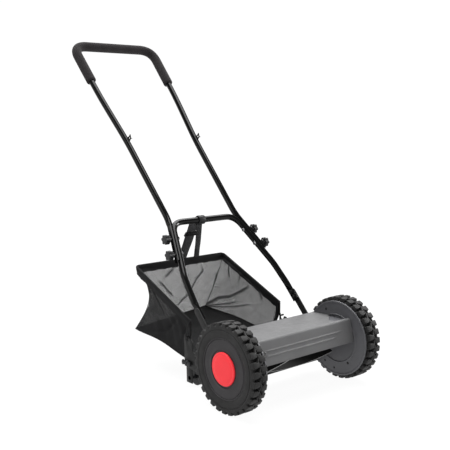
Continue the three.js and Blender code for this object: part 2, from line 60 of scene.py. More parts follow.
cap_low, cap_high = node_box("hub_cap_right")
tyre_low, tyre_high = node_box("tyre_right")
AXLE_Y = (cap_low[1] + cap_high[1]) / 2
AXLE_Z = (cap_low[2] + cap_high[2]) / 2
WHEEL_R = AXLE_Z
CARCASS_R = 92.7
RIM_R = 69.3
WHEEL_IN, WHEEL_OUT = -tyre_high[0], -tyre_low[0]
LUGS = 30
CAP_R = 37.4
CAP_FACE = -cap_low[0]
PLATE_R, PLATE_IN, PLATE_OUT = 92.2, 160.0, 162.5
REEL_Y, REEL_Z = 43.0, 92.0
REEL_R, REEL_ROOT, REEL_HALF = 48.0, 30.0, 146.0
REEL_TWIST, REEL_START = -1.9, 0.49
BLADES = 5
GEAR_MODULE, RING_TEETH, PINION_TEETH = 2.75, 42, 10
ARM_IN, ARM_OUT = 155.8, 158.4
PIVOT_Y, PIVOT_Z = 74.0, 110.7
ROLLER_Y, ROLLER_Z, ROLLER_R = 182.0, 22.0, 22.0
ADJUST_Y, ADJUST_Z = 184.0, 60.0
SLOPE = math.radians(47.4)
BAR_Y, BAR_Z = 318.0, 376.0
TUBE_R = 8.0
LOOP_CORNER, LOOP_SPLAY, LOOP_KNEE, LOOP_END, LOOP_FOOT, FOOT_X = 102.5, 0.275, 158.0, 240.0, 276.0, 152.4
UPPER_OFFSET, UPPER_END = 8.0, 112.0
GRIP_R, GRIP_END = 13.3, -485.0
TAB_S, TAB_X = -268.0, 113.6
TOP_S, TOP_X = -622.0, 133.0
BOW_S, BOW_X = -430.0, 127.5
BEND_X = 109.3
KNOB_S, BAR_BOLT_S = (46.6, 92.1), (250, 266)
BAG_HALF = 150.0
RIM_FRONT, RIM_REAR = (190.0, 158.0), (418.0, 256.0)
FLOOR_FRONT = (201.0, 63.0)
FLOOR_HALF, FLOOR_ARCH = 146.0, 7.0


def at(x, y, z):
    """A point of the axle-based drawing in the row frame, in metres."""
    return (x / 1000, (y + AXLE_Y) / 1000, z / 1000)


# ---- Materials ----
class Shader:
    """A principled material with the few nodes that every finish here is mixed from."""

    def __init__(self, name, gleam=0.5, sheen=0.0, sheen_roughness=0.5, **settings):
        self.material = bpy.data.materials.new(name)
        self.material.use_nodes = True
        self.nodes = self.material.node_tree.nodes
        self.links = self.material.node_tree.links
        self.bsdf = self.nodes["Principled BSDF"]
        settings["Specular IOR Level"] = gleam
        settings["Sheen Weight"] = sheen
        settings["Sheen Roughness"] = sheen_roughness
        for key, value in settings.items():
            self.bsdf.inputs[key].default_value = value
        self.place = self.nodes.new("ShaderNodeTexCoord").outputs["Object"]

    def node(self, kind, links=None, **settings):
        made = self.nodes.new(kind)
        for key, value in settings.items():
            if hasattr(made, key):
                setattr(made, key, value)
            else:
                made.inputs[key].default_value = value
        for key, source in (links or {}).items():
            self.links.new(source, made.inputs[key])
        return made

    def noise(self, scale, detail=4, rough=0.6, source=None, stretch=None):
        place = source or self.place
        if stretch:
            place = self.node("ShaderNodeMapping", {"Vector": place}, Scale=stretch).outputs["Vector"]
        made = self.node("ShaderNodeTexNoise", {"Vector": place})
        made.inputs["Scale"].default_value = scale
        made.inputs["Detail"].default_value = detail
        made.inputs["Roughness"].default_value = rough
        return made.outputs["Fac"]

    def ramp(self, value, stops):
        made = self.node("ShaderNodeValToRGB", {"Fac": value})
        made.color_ramp.elements[0].position = stops[0][0]
        made.color_ramp.elements[0].color = tint(stops[0][1])
        made.color_ramp.elements[1].position = stops[-1][0]
        made.color_ramp.elements[1].color = tint(stops[-1][1])
        for position, colour in stops[1:-1]:
            made.color_ramp.elements.new(position).color = tint(colour)
        return made.outputs["Color"]

    def math(self, operation, first, second, clamp=False):
        made = self.nodes.new("ShaderNodeMath")
        made.operation = operation
        made.use_clamp = clamp
        for socket, value in zip(made.inputs, (first, second)):
            if isinstance(value, (int, float)):
                socket.default_value = value
            else:
                self.links.new(value, socket)
        return made.outputs["Value"]

    def put(self, socket, source):
        self.links.new(source, self.bsdf.inputs[socket])

    def bump(self, *layers):
        """layers are (height, strength, distance in metres)."""
        normal = None
        for height, strength, distance in layers:
            made = self.node("ShaderNodeBump", {"Height": height})
            made.inputs["Strength"].default_value = strength
            made.inputs["Distance"].default_value = distance
            if normal:
                self.links.new(normal, made.inputs["Normal"])
            normal = made.outputs["Normal"]
        self.put("Normal", normal)


def tint(colour):
    if isinstance(colour, (int, float)):
        return (colour, colour, colour, 1)
    return (*colour, 1)


def spread(colour, low, high):
    """Two darker and lighter versions of a colour."""
    return tuple(c * low for c in colour), tuple(c * high for c in colour)


def coat_paint(name, colour, roughness, peel, gleam):
    """Powder coat: a fine orange peel, slight blotches and rubbed, duller patches."""
    s = Shader(name, gleam)
    blotch = s.noise(14, 3)
    dark, light = spread(colour, 0.9, 1.1)
    s.put("Base Color", s.ramp(blotch, [(0.3, dark), (0.7, light)]))
    scuff = s.noise(60, 6, 0.7)
    s.put("Roughness", s.ramp(scuff, [(0.3, roughness * 0.85), (0.75, roughness * 1.25)]))
    s.bump((s.noise(900, 2), peel, 0.0003), (s.noise(240, 3), peel * 0.25, 0.0004))
    return s.material


def moulded(name, colour, roughness, grain, mottle=1.12):
    """Moulded plastic: fine grain, soft flow marks and dusty variation."""
    s = Shader(name, gleam=0.25)
    flow = s.noise(25, 5, 0.65)
    dark, light = spread(colour, 2 - mottle, mottle)
    s.put("Base Color", s.ramp(flow, [(0.25, dark), (0.75, light)]))
    s.put("Roughness", s.ramp(s.noise(45, 4), [(0.3, roughness * 0.9), (0.7, roughness * 1.1)]))
    s.bump((s.noise(1500, 2), grain, 0.0003), (s.noise(70, 3), grain * 0.4, 0.0008))
    return s.material


def tread_rubber():
    """Rubber with a dusty bloom in broad patches and a fine pebbled skin."""
    s = Shader("tread_rubber", gleam=0.22)
    bloom = s.noise(30, 6, 0.7)
    s.put("Base Color", s.ramp(bloom, [(0.3, (0.011, 0.011, 0.011)), (0.75, (0.026, 0.025, 0.025))]))
    s.put("Roughness", s.ramp(s.noise(120, 4), [(0.3, 0.5), (0.75, 0.72)]))
    s.bump((s.noise(1300, 3), 0.22, 0.0004), (s.noise(240, 3), 0.15, 0.0006))
    return s.material


def zinc(name="zinc_plate", colour=(0.5, 0.5, 0.51), roughness=0.3):
    """Zinc-plated steel: spangled tone and fine turning marks."""
    s = Shader(name, Metallic=0.95)
    dark, light = spread(colour, 0.8, 1.12)
    s.put("Base Color", s.ramp(s.noise(180, 5, 0.7), [(0.3, dark), (0.7, light)]))
    s.put("Roughness", s.ramp(s.noise(90, 4), [(0.3, roughness * 0.8), (0.7, roughness * 1.4)]))
    s.bump((s.noise(700, 2, stretch=(0.1, 1, 1)), 0.12, 0.0003))
    return s.material


def blade_steel():
    """Black-painted blade, ground bright along the cutting edge by radius from the reel's axis."""
    s = Shader("blade_steel", Metallic=0.4)
    split = s.node("ShaderNodeSeparateXYZ", {"Vector": s.place})
    across = s.math("SUBTRACT", split.outputs["Y"], (REEL_Y + AXLE_Y) / 1000)
    up = s.math("SUBTRACT", split.outputs["Z"], REEL_Z / 1000)
    radius = s.math("SQRT", s.math("ADD", s.math("MULTIPLY", across, across), s.math("MULTIPLY", up, up)), 0)
    ground = s.math("GREATER_THAN", radius, (REEL_R - 0.8) / 1000)
    mix = s.node("ShaderNodeMix", {"Factor": ground}, data_type="RGBA")
    mix.inputs["A"].default_value = tint(0.013)
    mix.inputs["B"].default_value = tint(0.32)
    s.put("Base Color", mix.outputs["Result"])
    s.put("Roughness", s.ramp(s.noise(160, 4), [(0.3, 0.28), (0.7, 0.42)]))
    s.bump((s.noise(600, 3, stretch=(0.15, 1, 1)), 0.15, 0.0003))
    return s.material


def grip_foam():
    """Closed-cell foam: dense small cells and a soft, dull skin."""
    s = Shader("grip_foam", gleam=0.15, sheen=0.04, sheen_roughness=0.6, Roughness=0.95)
    cells = s.node("ShaderNodeTexVoronoi", {"Vector": s.place}, Scale=900).outputs["Distance"]
    soft = s.noise(35, 4)
    s.put("Base Color", s.ramp(soft, [(0.3, (0.017, 0.015, 0.016)), (0.7, (0.024, 0.021, 0.022))]))
    s.bump((cells, 0.35, 0.0006), (s.noise(120, 4), 0.2, 0.0012))
    return s.material


def weave_height(s, threads_per_metre):
    """Plain weave from two crossed waves on the cloth's own map, which is in metres."""
    split = s.node("ShaderNodeSeparateXYZ", {"Vector": s.node("ShaderNodeUVMap").outputs["UV"]})
    turn = math.pi * threads_per_metre
    warp = s.math("ABSOLUTE", s.math("SINE", s.math("MULTIPLY", split.outputs["X"], turn), 0), 0)
    weft = s.math("ABSOLUTE", s.math("SINE", s.math("MULTIPLY", split.outputs["Y"], turn), 0), 0)
    return warp, weft


def bag_cloth(name, colour, sheen):
    """Solid polyester: plain weave, faint creases and lint."""
    s = Shader(name, gleam=0.15, sheen=sheen, Roughness=0.8)
    warp, weft = weave_height(s, 1400)
    dark, light = spread(colour, 0.75, 1.25)
    s.put("Base Color", s.ramp(s.noise(22, 6, 0.65), [(0.3, dark), (0.72, light)]))
    s.bump((s.math("MAXIMUM", warp, weft), 0.3, 0.0004), (s.noise(55, 5, 0.6), 0.35, 0.002))
    return s.material


def bag_mesh(name, colour, open_share):
    """Knitted netting: dark threads, gaps that let light through, and doubled cloth where it folds."""
    s = Shader(name, gleam=0.12, sheen=0.02, Roughness=0.8)
    warp, weft = weave_height(s, 760)
    thread = s.math("MAXIMUM", warp, weft)
    dark, light = spread(colour, 0.85, 1.2)
    s.put("Base Color", s.ramp(s.noise(30, 5), [(0.3, dark), (0.7, light)]))
    folded = s.node("ShaderNodeAttribute", attribute_name="fold").outputs["Fac"]
    gap = s.math("LESS_THAN", thread, open_share)
    uneven = s.ramp(s.noise(26, 5, 0.65), [(0.3, 0.86), (0.7, 1.0)])
    see = s.math("MULTIPLY", gap, s.math("SUBTRACT", 1.0, s.math("MULTIPLY", folded, 0.95)))
    see = s.math("MULTIPLY", see, uneven)
    s.put("Alpha", s.math("SUBTRACT", 1.0, see, clamp=True))
    s.bump((thread, 0.25, 0.0004), (s.noise(55, 5, 0.6), 0.3, 0.002))
    return s.material


def webbing():
    """Woven strap: ribs across its width on the strap's own map."""
    s = Shader("webbing", gleam=0.2, sheen=0.06, Roughness=0.7)
    warp, weft = weave_height(s, 700)
    s.put("Base Color", s.ramp(s.noise(60, 4), [(0.3, (0.022, 0.022, 0.023)), (0.7, (0.045, 0.045, 0.047))]))
    s.bump((s.math("MULTIPLY", warp, weft), 0.5, 0.0008))
    return s.material


FINISH = {
    "grey": coat_paint("grey_coat", (0.106, 0.106, 0.108), 0.46, 0.10, gleam=0.35),
    "plate": coat_paint("plate_coat", (0.090, 0.090, 0.097), 0.42, 0.10, gleam=0.4),
    "gloss": coat_paint("gloss_black_coat", (0.003, 0.003, 0.003), 0.07, 0.01, gleam=0.2),
    "matte": coat_paint("matte_black_coat", (0.010, 0.010, 0.010), 0.5, 0.15, gleam=0.25),
    "plastic": moulded("black_plastic", (0.009, 0.009, 0.010), 0.42, 0.2),
    "wheel": moulded("wheel_plastic", (0.026, 0.024, 0.026), 0.5, 0.12, 1.16),
    "red": moulded("cap_red", (0.92, 0.032, 0.044), 0.38, 0.10, 1.03),
    "tread": tread_rubber(),
    "zinc": zinc(),
    "edge": zinc("dark_ground_steel", (0.10, 0.10, 0.10), 0.4),
    "blade": blade_steel(),
    "foam": grip_foam(),
    "cloth": bag_cloth("bag_cloth", (0.0035, 0.0035, 0.0038), 0.02),
    "hem": bag_cloth("bag_hem", (0.0055, 0.0055, 0.006), 0.02),
    "mesh": bag_mesh("bag_netting", (0.009, 0.009, 0.0095), 0.70),
    "webbing": webbing(),
}


# ---- Mesh making ----
class Build:
    """Gathers faces from several forms into one mesh, each face with a finish."""

    def __init__(self):
        self.points = []
        self.faces = []
        self.marks = []
        self.looks = []

    def add(self, points, faces, look):
        start = len(self.points)
        self.points.extend(points)
        if look not in self.looks:
            self.looks.append(look)
        mark = self.looks.index(look)
        for face in faces:
            self.faces.append([start + i for i in face])
            self.marks.append(mark)
        return self

    def piece(self, name, body, replaces=(), crease=35, bevel=0.0, bevel_steps=2):
        data = bpy.data.meshes.new(name)
        data.from_pydata([at(*p) for p in self.points], [], self.faces)
        for look in self.looks:
            data.materials.append(FINISH[look])
        data.polygons.foreach_set("material_index", self.marks)
        data.validate()
        obj = bpy.data.objects.new(name, data)
        bpy.context.collection.objects.link(obj)
        outward(obj)
        if bevel:
            bevel_edges(obj, bevel / 1000, bevel_steps, 30)
        smooth(obj, crease)
        settle(obj, body, replaces)
        return obj


def outward(obj):
    """Merges doubles and turns every closed shell's faces out."""
    work = bmesh.new()
    work.from_mesh(obj.data)
    bmesh.ops.remove_doubles(work, verts=work.verts, dist=1e-6)
    bmesh.ops.recalc_face_normals(work, faces=work.faces)
    work.to_mesh(obj.data)
    work.free()


def bake_modifiers(obj):
    graph = bpy.context.evaluated_depsgraph_get()
    made = bpy.data.meshes.new_from_object(obj.evaluated_get(graph))
    old = obj.data
    obj.modifiers.clear()
    obj.data = made
    made.name = old.name
    bpy.data.meshes.remove(old)


def bevel_edges(obj, width, segments, angle):
    """Rounds the edges that turn by more than angle degrees."""
    cut = obj.modifiers.new("edges", "BEVEL")
    cut.width = width
    cut.segments = segments
    cut.limit_method = "ANGLE"
    cut.angle_limit = math.radians(angle)
    bake_modifiers(obj)


def smooth(obj, crease):
    obj.data.shade_smooth()
    obj.data.set_sharp_from_angle(angle=math.radians(crease))


def settle(obj, body, replaces=()):
    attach(obj, body)
    if replaces:
        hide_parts(*replaces)


def lathe(profile, y=0.0, z=None, segments=48, side=1):
    """A form turned about the X axis from [radius, x] points; radius 0 closes on the axis."""
    z = AXLE_Z if z is None else z
    points, rings = [], []
    for radius, x in profile:
        if radius == 0:
            rings.append([len(points)])
            points.append((side * x, y, z))
            continue
        ring = []
        for i in range(segments):
            angle = 2 * math.pi * i / segments
            ring.append(len(points))
            points.append((side * x, y + radius * math.cos(angle), z + radius * math.sin(angle)))
        rings.append(ring)
    faces = []
    pairs = list(zip(rings, rings[1:]))
    if len(rings[0]) > 1:
        pairs.append((rings[-1], rings[0]))
    for a, b in pairs:
        for i in range(segments):
            j = (i + 1) % segments
            if len(a) == 1 and len(b) == 1:
                continue
            if len(a) == 1:
                faces.append([a[0], b[i], b[j]])
            elif len(b) == 1:
                faces.append([a[i], a[j], b[0]])
            else:
                faces.append([a[i], a[j], b[j], b[i]])
    return points, faces


def prism_faces(count):
    """Faces of a form whose two ends are outlines of count points."""
    faces = [[i, (i + 1) % count, count + (i + 1) % count, count + i] for i in range(count)]
    return faces + [list(range(count)), [count + i for i in reversed(range(count))]]


def slab(outline, x1, x2):
    """A closed outline of (y, z) points pushed from x1 to x2."""
    return [(x, y, z) for x in (x1, x2) for y, z in outline], prism_faces(len(outline))


def turned_box(middle, axes, spans):
    """A box on three axes from middle; spans holds its reach, low and high, along each."""
    (a1, a2), (b1, b2), (c1, c2) = spans
    corners = [middle + axes[0] * a + axes[1] * b + axes[2] * c
               for c in (c1, c2) for a, b in ((a1, b1), (a2, b1), (a2, b2), (a1, b2))]
    sides = [[i, (i + 1) % 4, 4 + (i + 1) % 4, 4 + i] for i in range(4)]
    return [tuple(corner) for corner in corners], [[0, 1, 2, 3], [4, 5, 6, 7]] + sides


def loft(stations):
    """A tube, closed at both ends, through rings of points that all have the same count."""
    size = len(stations[0])
    rings = [range(k * size, (k + 1) * size) for k in range(len(stations))]
    faces = [[a[i], a[(i + 1) % size], b[(i + 1) % size], b[i]]
             for a, b in zip(rings, rings[1:]) for i in range(size)]
    faces += [list(reversed(rings[0])), list(rings[-1])]
    return [tuple(point) for ring in stations for point in ring], faces


def ring_slab(outer, inner, x1, x2):
    """A plate between two outlines with the same number of points."""
    count = len(outer)
    points = [(x, y, z) for x in (x1, x2) for loop in (outer, inner) for y, z in loop]
    faces = []
    for i in range(count):
        j = (i + 1) % count
        for a, b in ((0, 1), (1, 3), (3, 2), (2, 0)):
            faces.append([a * count + i, a * count + j, b * count + j, b * count + i])
    return points, faces


def grid_faces(rows, columns):
    return [[r * columns + c, r * columns + c + 1, (r + 1) * columns + c + 1, (r + 1) * columns + c]
            for r in range(rows - 1) for c in range(columns - 1)]


def sheet_faces(rows, columns):
    """Faces of a thick sheet: a grid of points, the same grid again for its underside, and the edges."""
    under = rows * columns
    faces = []
    for a, b, c, d in grid_faces(rows, columns):
        faces += [[a, b, c, d], [under + a, under + d, under + c, under + b]]
    for c in range(columns - 1):
        for a in (c, (rows - 1) * columns + c):
            faces.append([a, under + a, under + a + 1, a + 1])
    for r in range(rows - 1):
        for a in (r * columns, (r + 1) * columns - 1):
            faces.append([a, a + columns, under + a + columns, under + a])
    return faces


def polar(y, z, radius, angle):
    return y + radius * math.cos(angle), z + radius * math.sin(angle)


def circle(radius, count, y=0.0, z=0.0, start=0.0):
    return [polar(y, z, radius, start + 2 * math.pi * i / count) for i in range(count)]


def teeth(count, y, z, start, way, plain):
    """Matching outlines of a gear whose teeth point out (way 1) or in (-1), and of a plain circle."""
    pitch_r, height, root_gap = GEAR_MODULE * count / 2, GEAR_MODULE * 0.8, 0.5
    root, tip = pitch_r - way * (height + root_gap), pitch_r + way * height
    toothed, smooth_ring = [], []
    for i in range(count):
        middle = start + i * 2 * math.pi / count
        for part, radius in ((-0.29, root), (-0.14, tip), (0.14, tip), (0.29, root)):
            angle = middle + part * 2 * math.pi / count
            toothed.append(polar(y, z, radius, angle))
            smooth_ring.append(polar(y, z, plain, angle))
    return toothed, smooth_ring


def clamp(value):
    return max(0.0, min(1.0, value))


def ease(value):
    """Clamped to 0..1, with a soft start and finish."""
    t = clamp(value)
    return t * t * (3 - 2 * t)


def heading_at(path, i):
    """The direction of a path at one of its points."""
    return (path[min(i + 1, len(path) - 1)] - path[max(i - 1, 0)]).normalized()


def on_handle(x, s, lift=0.0):
    """A point of the handle's sloping plane: s down the slope, lift square to it."""
    return Vector((x, BAR_Y - s * math.cos(SLOPE) - lift * math.sin(SLOPE),
                   BAR_Z - s * math.sin(SLOPE) + lift * math.cos(SLOPE)))


def rounded(points, corners, steps=14):
    """Rounds the corners of a polyline; corners are each fillet's tangent length."""
    path = []
    for i, (point, corner) in enumerate(zip(points, corners)):
        if not corner:
            path.append(point.copy())
            continue
        start = point + (points[i - 1] - point).normalized() * corner
        end = point + (points[i + 1] - point).normalized() * corner
        for n in range(steps + 1):
            t = n / steps
            path.append(start * (1 - t) ** 2 + point * 2 * t * (1 - t) + end * t * t)
    return path


def refine(path, longest):
    """Adds points on a path's long straights."""
    fine = [path[0]]
    for a, b in zip(path, path[1:]):
        parts = max(1, math.ceil((b - a).length / longest))
        fine.extend(a.lerp(b, n / parts) for n in range(1, parts + 1))
    return fine


def sweep(path, section, normal):
    """A tube along a path in a plane; section(i) gives (across, out) pairs for each station."""
    stations = []
    for i, point in enumerate(path):
        tangent = heading_at(path, i)
        side = tangent.cross(normal).normalized()
        out = side.cross(tangent).normalized()
        stations.append([point + side * a + out * b for a, b in section(i)])
    return loft(stations)


HANDLE_NORMAL = Vector((0, -math.sin(SLOPE), math.cos(SLOPE)))


# ---- Geometry Nodes: a form repeated round the wheel's axis ----
def round_tree(form, look, name):
    """Nodes that place copies of a form about X; returns them with their Copies and Start turn inputs."""
    tree = bpy.data.node_groups.new(name, "GeometryNodeTree")
    tree.interface.new_socket("Geometry", in_out="OUTPUT", socket_type="NodeSocketGeometry")
    copies = tree.interface.new_socket("Copies", in_out="INPUT", socket_type="NodeSocketInt")
    start = tree.interface.new_socket("Start turn", in_out="INPUT", socket_type="NodeSocketFloat")
    nodes, links = tree.nodes, tree.links
    entry = nodes.new("NodeGroupInput")
    exit_ = nodes.new("NodeGroupOutput")
    line = nodes.new("GeometryNodeMeshLine")
    line.inputs["Offset"].default_value = (0, 0, 0)
    links.new(entry.outputs["Copies"], line.inputs["Count"])
    to_points = nodes.new("GeometryNodeMeshToPoints")
    links.new(line.outputs["Mesh"], to_points.inputs["Mesh"])
    source = nodes.new("GeometryNodeObjectInfo")
    source.inputs["Object"].default_value = form
    place = nodes.new("GeometryNodeInstanceOnPoints")
    links.new(to_points.outputs["Points"], place.inputs["Points"])
    links.new(source.outputs["Geometry"], place.inputs["Instance"])
    index = nodes.new("GeometryNodeInputIndex")
    step = nodes.new("ShaderNodeMath")
    step.operation = "DIVIDE"
    step.inputs[0].default_value = 2 * math.pi
    links.new(entry.outputs["Copies"], step.inputs[1])
    angle = nodes.new("ShaderNodeMath")
    angle.operation = "MULTIPLY_ADD"
    links.new(index.outputs["Index"], angle.inputs[0])
    links.new(step.outputs["Value"], angle.inputs[1])
    links.new(entry.outputs["Start turn"], angle.inputs[2])
    turned = nodes.new("ShaderNodeCombineXYZ")
    links.new(angle.outputs["Value"], turned.inputs["X"])
    links.new(turned.outputs["Vector"], place.inputs["Rotation"])
    real = nodes.new("GeometryNodeRealizeInstances")
    links.new(place.outputs["Instances"], real.inputs["Geometry"])
    paint = nodes.new("GeometryNodeSetMaterial")
    paint.inputs["Material"].default_value = FINISH[look]
    links.new(real.outputs["Geometry"], paint.inputs["Geometry"])
    links.new(paint.outputs["Geometry"], exit_.inputs["Geometry"])
    return tree, copies.identifier, start.identifier


def repeat_round(form, look, count, turn, name):
    """Instances a small mesh count times about X, then makes it one plain mesh."""
    tree, copies, start = round_tree(form, look, name)
    holder = bpy.data.objects.new(name, bpy.data.meshes.new(name))
    bpy.context.collection.objects.link(holder)
    modifier = holder.modifiers.new("repeat", "NODES")
    modifier.node_group = tree
    modifier[copies] = count
    modifier[start] = turn
    graph = bpy.context.evaluated_depsgraph_get()
    made = bpy.data.meshes.new_from_object(holder.evaluated_get(graph))
    bpy.data.objects.remove(holder)
    points = [tuple(v.co) for v in made.vertices]
    faces = [list(p.vertices) for p in made.polygons]
    bpy.data.meshes.remove(made)
    return points, faces


def small_form(points, faces, bevel):
    """A little bevelled mesh, drawn about the origin in millimetres, to be repeated."""
    data = bpy.data.meshes.new("form")
    data.from_pydata(points, [], faces)
    obj = bpy.data.objects.new("form", data)
    bpy.context.collection.objects.link(obj)
    outward(obj)
    bevel_edges(obj, bevel, 3, 25)
    return obj


# ---- Wheels ----
def lug_form(side, inward):
    """One tread block, broad at the shoulder and sunk a little into the carcass."""
    middle = (WHEEL_IN + WHEEL_OUT) / 2
    near, far = (middle - 2.2, WHEEL_IN + 0.8) if inward else (middle + 2.2, WHEEL_OUT - 0.5)
    way = 1 if far > near else -1
    foot, top = CARCASS_R - 4, WHEEL_R - 0.1
    half, waist_half, corner = 7.5, 5.8, 1.6
    plan = [(near, waist_half), (near + way * 4.2, waist_half), (near + way * 7.0, half),
            (far - way * 1.2, half), (far, half - corner)]
    plan += [(x, -w) for x, w in reversed(plan)]
    points = [(side * x, w, foot) for x, w in plan]
    points += [(side * (middle + (x - middle) * 0.965), w * 0.90, top - 0.045 * w * w * 0.16)
               for x, w in plan]
    return points, prism_faces(len(plan))


def wavy_rib(side):
    """The raised rib round the tyre's middle, which sways between the blocks of the two rows."""
    middle, foot, top = (WHEEL_IN + WHEEL_OUT) / 2, CARCASS_R - 2, WHEEL_R - 0.8
    section = [(-2.6, foot), (-2.2, top - 0.8), (-1.4, top), (1.4, top), (2.2, top - 0.8), (2.6, foot)]
    stations, size = 180, len(section)
    points, faces = [], []
    for i in range(stations):
        angle = 2 * math.pi * i / stations
        sway = 2.2 * math.sin(angle * LUGS)
        for across, radius in section:
            points.append((side * (middle + across + sway), *polar(0, AXLE_Z, radius, angle)))
        j = (i + 1) % stations
        for k in range(size):
            m = (k + 1) % size
            faces.append([i * size + k, j * size + k, j * size + m, i * size + m])
    return points, faces


def tyre(name, side):
    build = Build()
    inner, outer = WHEEL_IN, WHEEL_OUT
    profile = [(RIM_R, inner + 1), (RIM_R + 3, inner), (84, inner), (CARCASS_R - 3, inner + 0.6),
               (CARCASS_R - 0.8, inner + 2.4), (CARCASS_R - 0.2, inner + 5), (CARCASS_R - 0.2, outer - 9),
               (CARCASS_R + 2.4, outer - 6), (CARCASS_R + 2.4, outer - 3), (CARCASS_R + 1, outer - 1.2),
               (CARCASS_R - 2, outer - 0.3),
               (88, outer - 0.3), (87, outer - 1.1), (85.5, outer - 1.1), (84.5, outer - 0.1), (78, outer),
               (73, outer - 0.2), (71, outer - 0.9), (RIM_R, outer - 1.6)]
    build.add(*lathe(profile, segments=120, side=side), "tread")
    for row in range(2):
        form = small_form(*lug_form(side, inward=row == 0), bevel=1.3)
        turn = (row / 2) * 2 * math.pi / LUGS - math.pi / 2
        points, faces = repeat_round(form, "tread", LUGS, turn, f"lugs_{name}_{row}")
        bpy.data.objects.remove(form)
        build.add([(x, y, z + AXLE_Z) for x, y, z in points], faces, "tread")
    build.add(*wavy_rib(side), "tread")
    build.piece(f"tread_{name}", f"wheel_{name}", [f"tyre_{name}"], crease=40)


def rim(name, side):
    build = Build()
    outer = WHEEL_OUT
    face = [(8.4, 166), (17, 166), (17, 195), (60, 195), (66, 192), (66, 165.5), (RIM_R - 0.3, 165.5),
            (RIM_R - 0.3, outer - 1.4), (68.3, outer - 1.1), (67.2, outer - 1.2), (66.4, outer - 2.6),
            (64.8, outer - 2.6), (64, outer - 1.6), (58, outer - 1.4), (52, outer - 1.9), (46, outer - 1.7),
            (44, outer - 1.2), (42.6, outer - 1.3), (42, outer - 2.5), (38.2, 200.6),
            (8.4, 200.6)]
    build.add(*lathe(face, segments=96, side=side), "wheel")
    heading = math.atan2(REEL_Z - AXLE_Z, REEL_Y)
    inside, outside = teeth(RING_TEETH, 0, AXLE_Z, heading + math.pi / RING_TEETH, -1, 66.5)
    build.add(*ring_slab(outside, inside, side * 166.3, side * 194.8), "wheel")
    build.piece(f"wheel_rim_{name}", f"wheel_{name}", [f"rim_{name}"], crease=30)


def hub_cap(name, side):
    build = Build()
    face = CAP_FACE
    skirt = 200.9
    profile = [(0, face - 1.3), (CAP_R - 3, face - 1.3), (CAP_R - 3, skirt), (CAP_R, skirt),
               (CAP_R, face - 1.8), (CAP_R - 0.35, face - 1.0), (CAP_R - 1.2, face - 0.45),
               (CAP_R - 2.6, face - 0.25), (CAP_R - 4.4, face - 0.2), (CAP_R - 5.0, face - 0.42),
               (CAP_R - 5.8, face - 0.42), (CAP_R - 6.4, face - 0.15), (24, face - 0.05),
               (12, face - 0.02), (0, face)]
    build.add(*lathe(profile, segments=96, side=side), "red")
    build.piece(f"red_cap_{name}", f"wheel_{name}", [f"hub_cap_{name}"], crease=50)


# ---- Chassis ----
def side_plate(name, side):
    build = Build()
    inner, outer = PLATE_IN, PLATE_OUT
    hub = [(0, inner - 5), (9, inner - 5), (9, inner + 1), (20, inner + 1), (57, inner + 1),
           (57.8, inner + 0.4), (58.4, inner - 1.2), (59.6, inner - 1.3), (60.6, inner - 0.2), (85.6, inner),
           (87.0, inner - 0.2), (88.0, inner - 0.9), (89.0, inner - 1.2), (91.2, inner - 1.2),
           (92.0, inner - 0.9), (PLATE_R, inner - 0.2), (PLATE_R, outer), (0, outer)]
    build.add(*lathe(hub, segments=128, side=side), "plate")
    # Small matte black domes on the plate's inner face: painted shade standing in for the dark of its screw
    # holes.
    for y, z, size in ((36, 168, 3.2), (-38, 47, 3.4), (5, 25, 2.6), (36, 36, 3.0)):
        hole_shade_dot = [(0, inner - 1.0), (size * 0.6, inner - 0.9), (size, inner - 0.2), (size, inner + 0.5),
                  (0, inner + 0.5)]
        build.add(*lathe(hole_shade_dot, y=y, z=z, segments=20, side=side), "matte")
    stop = [(0, ARM_IN), (3.0, ARM_IN), (3.5, ARM_IN + 0.6), (3.5, inner + 1), (0, inner + 1)]
    build.add(*lathe(stop, y=54.6, z=108.5, segments=24, side=side), "zinc")
    if name == "left":
        build.add(*slab(corner_flange(), 101, PLATE_IN + 0.3), "plate")
    build.piece(f"plate_{name}", "chassis", [f"side_plate_{name}"], crease=35)


def corner_flange():
    """Section of the gusset folded in from the left plate, sloping down under the cover's open corner."""
    front, rear, thick = (-42.5, 154.5), (29, 153.0), 1.6
    return [front, rear, (rear[0], rear[1] - thick), (front[0], front[1] - thick)]


COVER_HALF, COVER_SHEET = 158.2, 1.5
# Pressed ribs: how far up the front panel each lies, as a share, and where its left end is.
COVER_RIBS = ((0.565, 126), (0.37, 106))
RIB_HIGH, RIB_WIDE, RIB_RIGHT_END = 1.8, 0.027, -132


def cover_profile():
    """The cover's folded section as (y, z): its front edge, its bend and its rear edge."""
    front, bend, rear = (-56, 105), (-44, 161), (83, 151)
    return front, bend, rear


def notch_edge(y):
    """Where the top panel stops beside the left plate: an S-shaped corner is left open."""
    line = ((-38, COVER_HALF), (-37.2, 104), (-30, 107), (-20, 111), (-12, 117), (-2, 129), (10, 141),
            (20, 151), (26, COVER_HALF))
    for (y1, x1), (y2, x2) in zip(line, line[1:]):
        if y1 < y <= y2:
            return x1 + (x2 - x1) * (y - y1) / (y2 - y1)
    return COVER_HALF


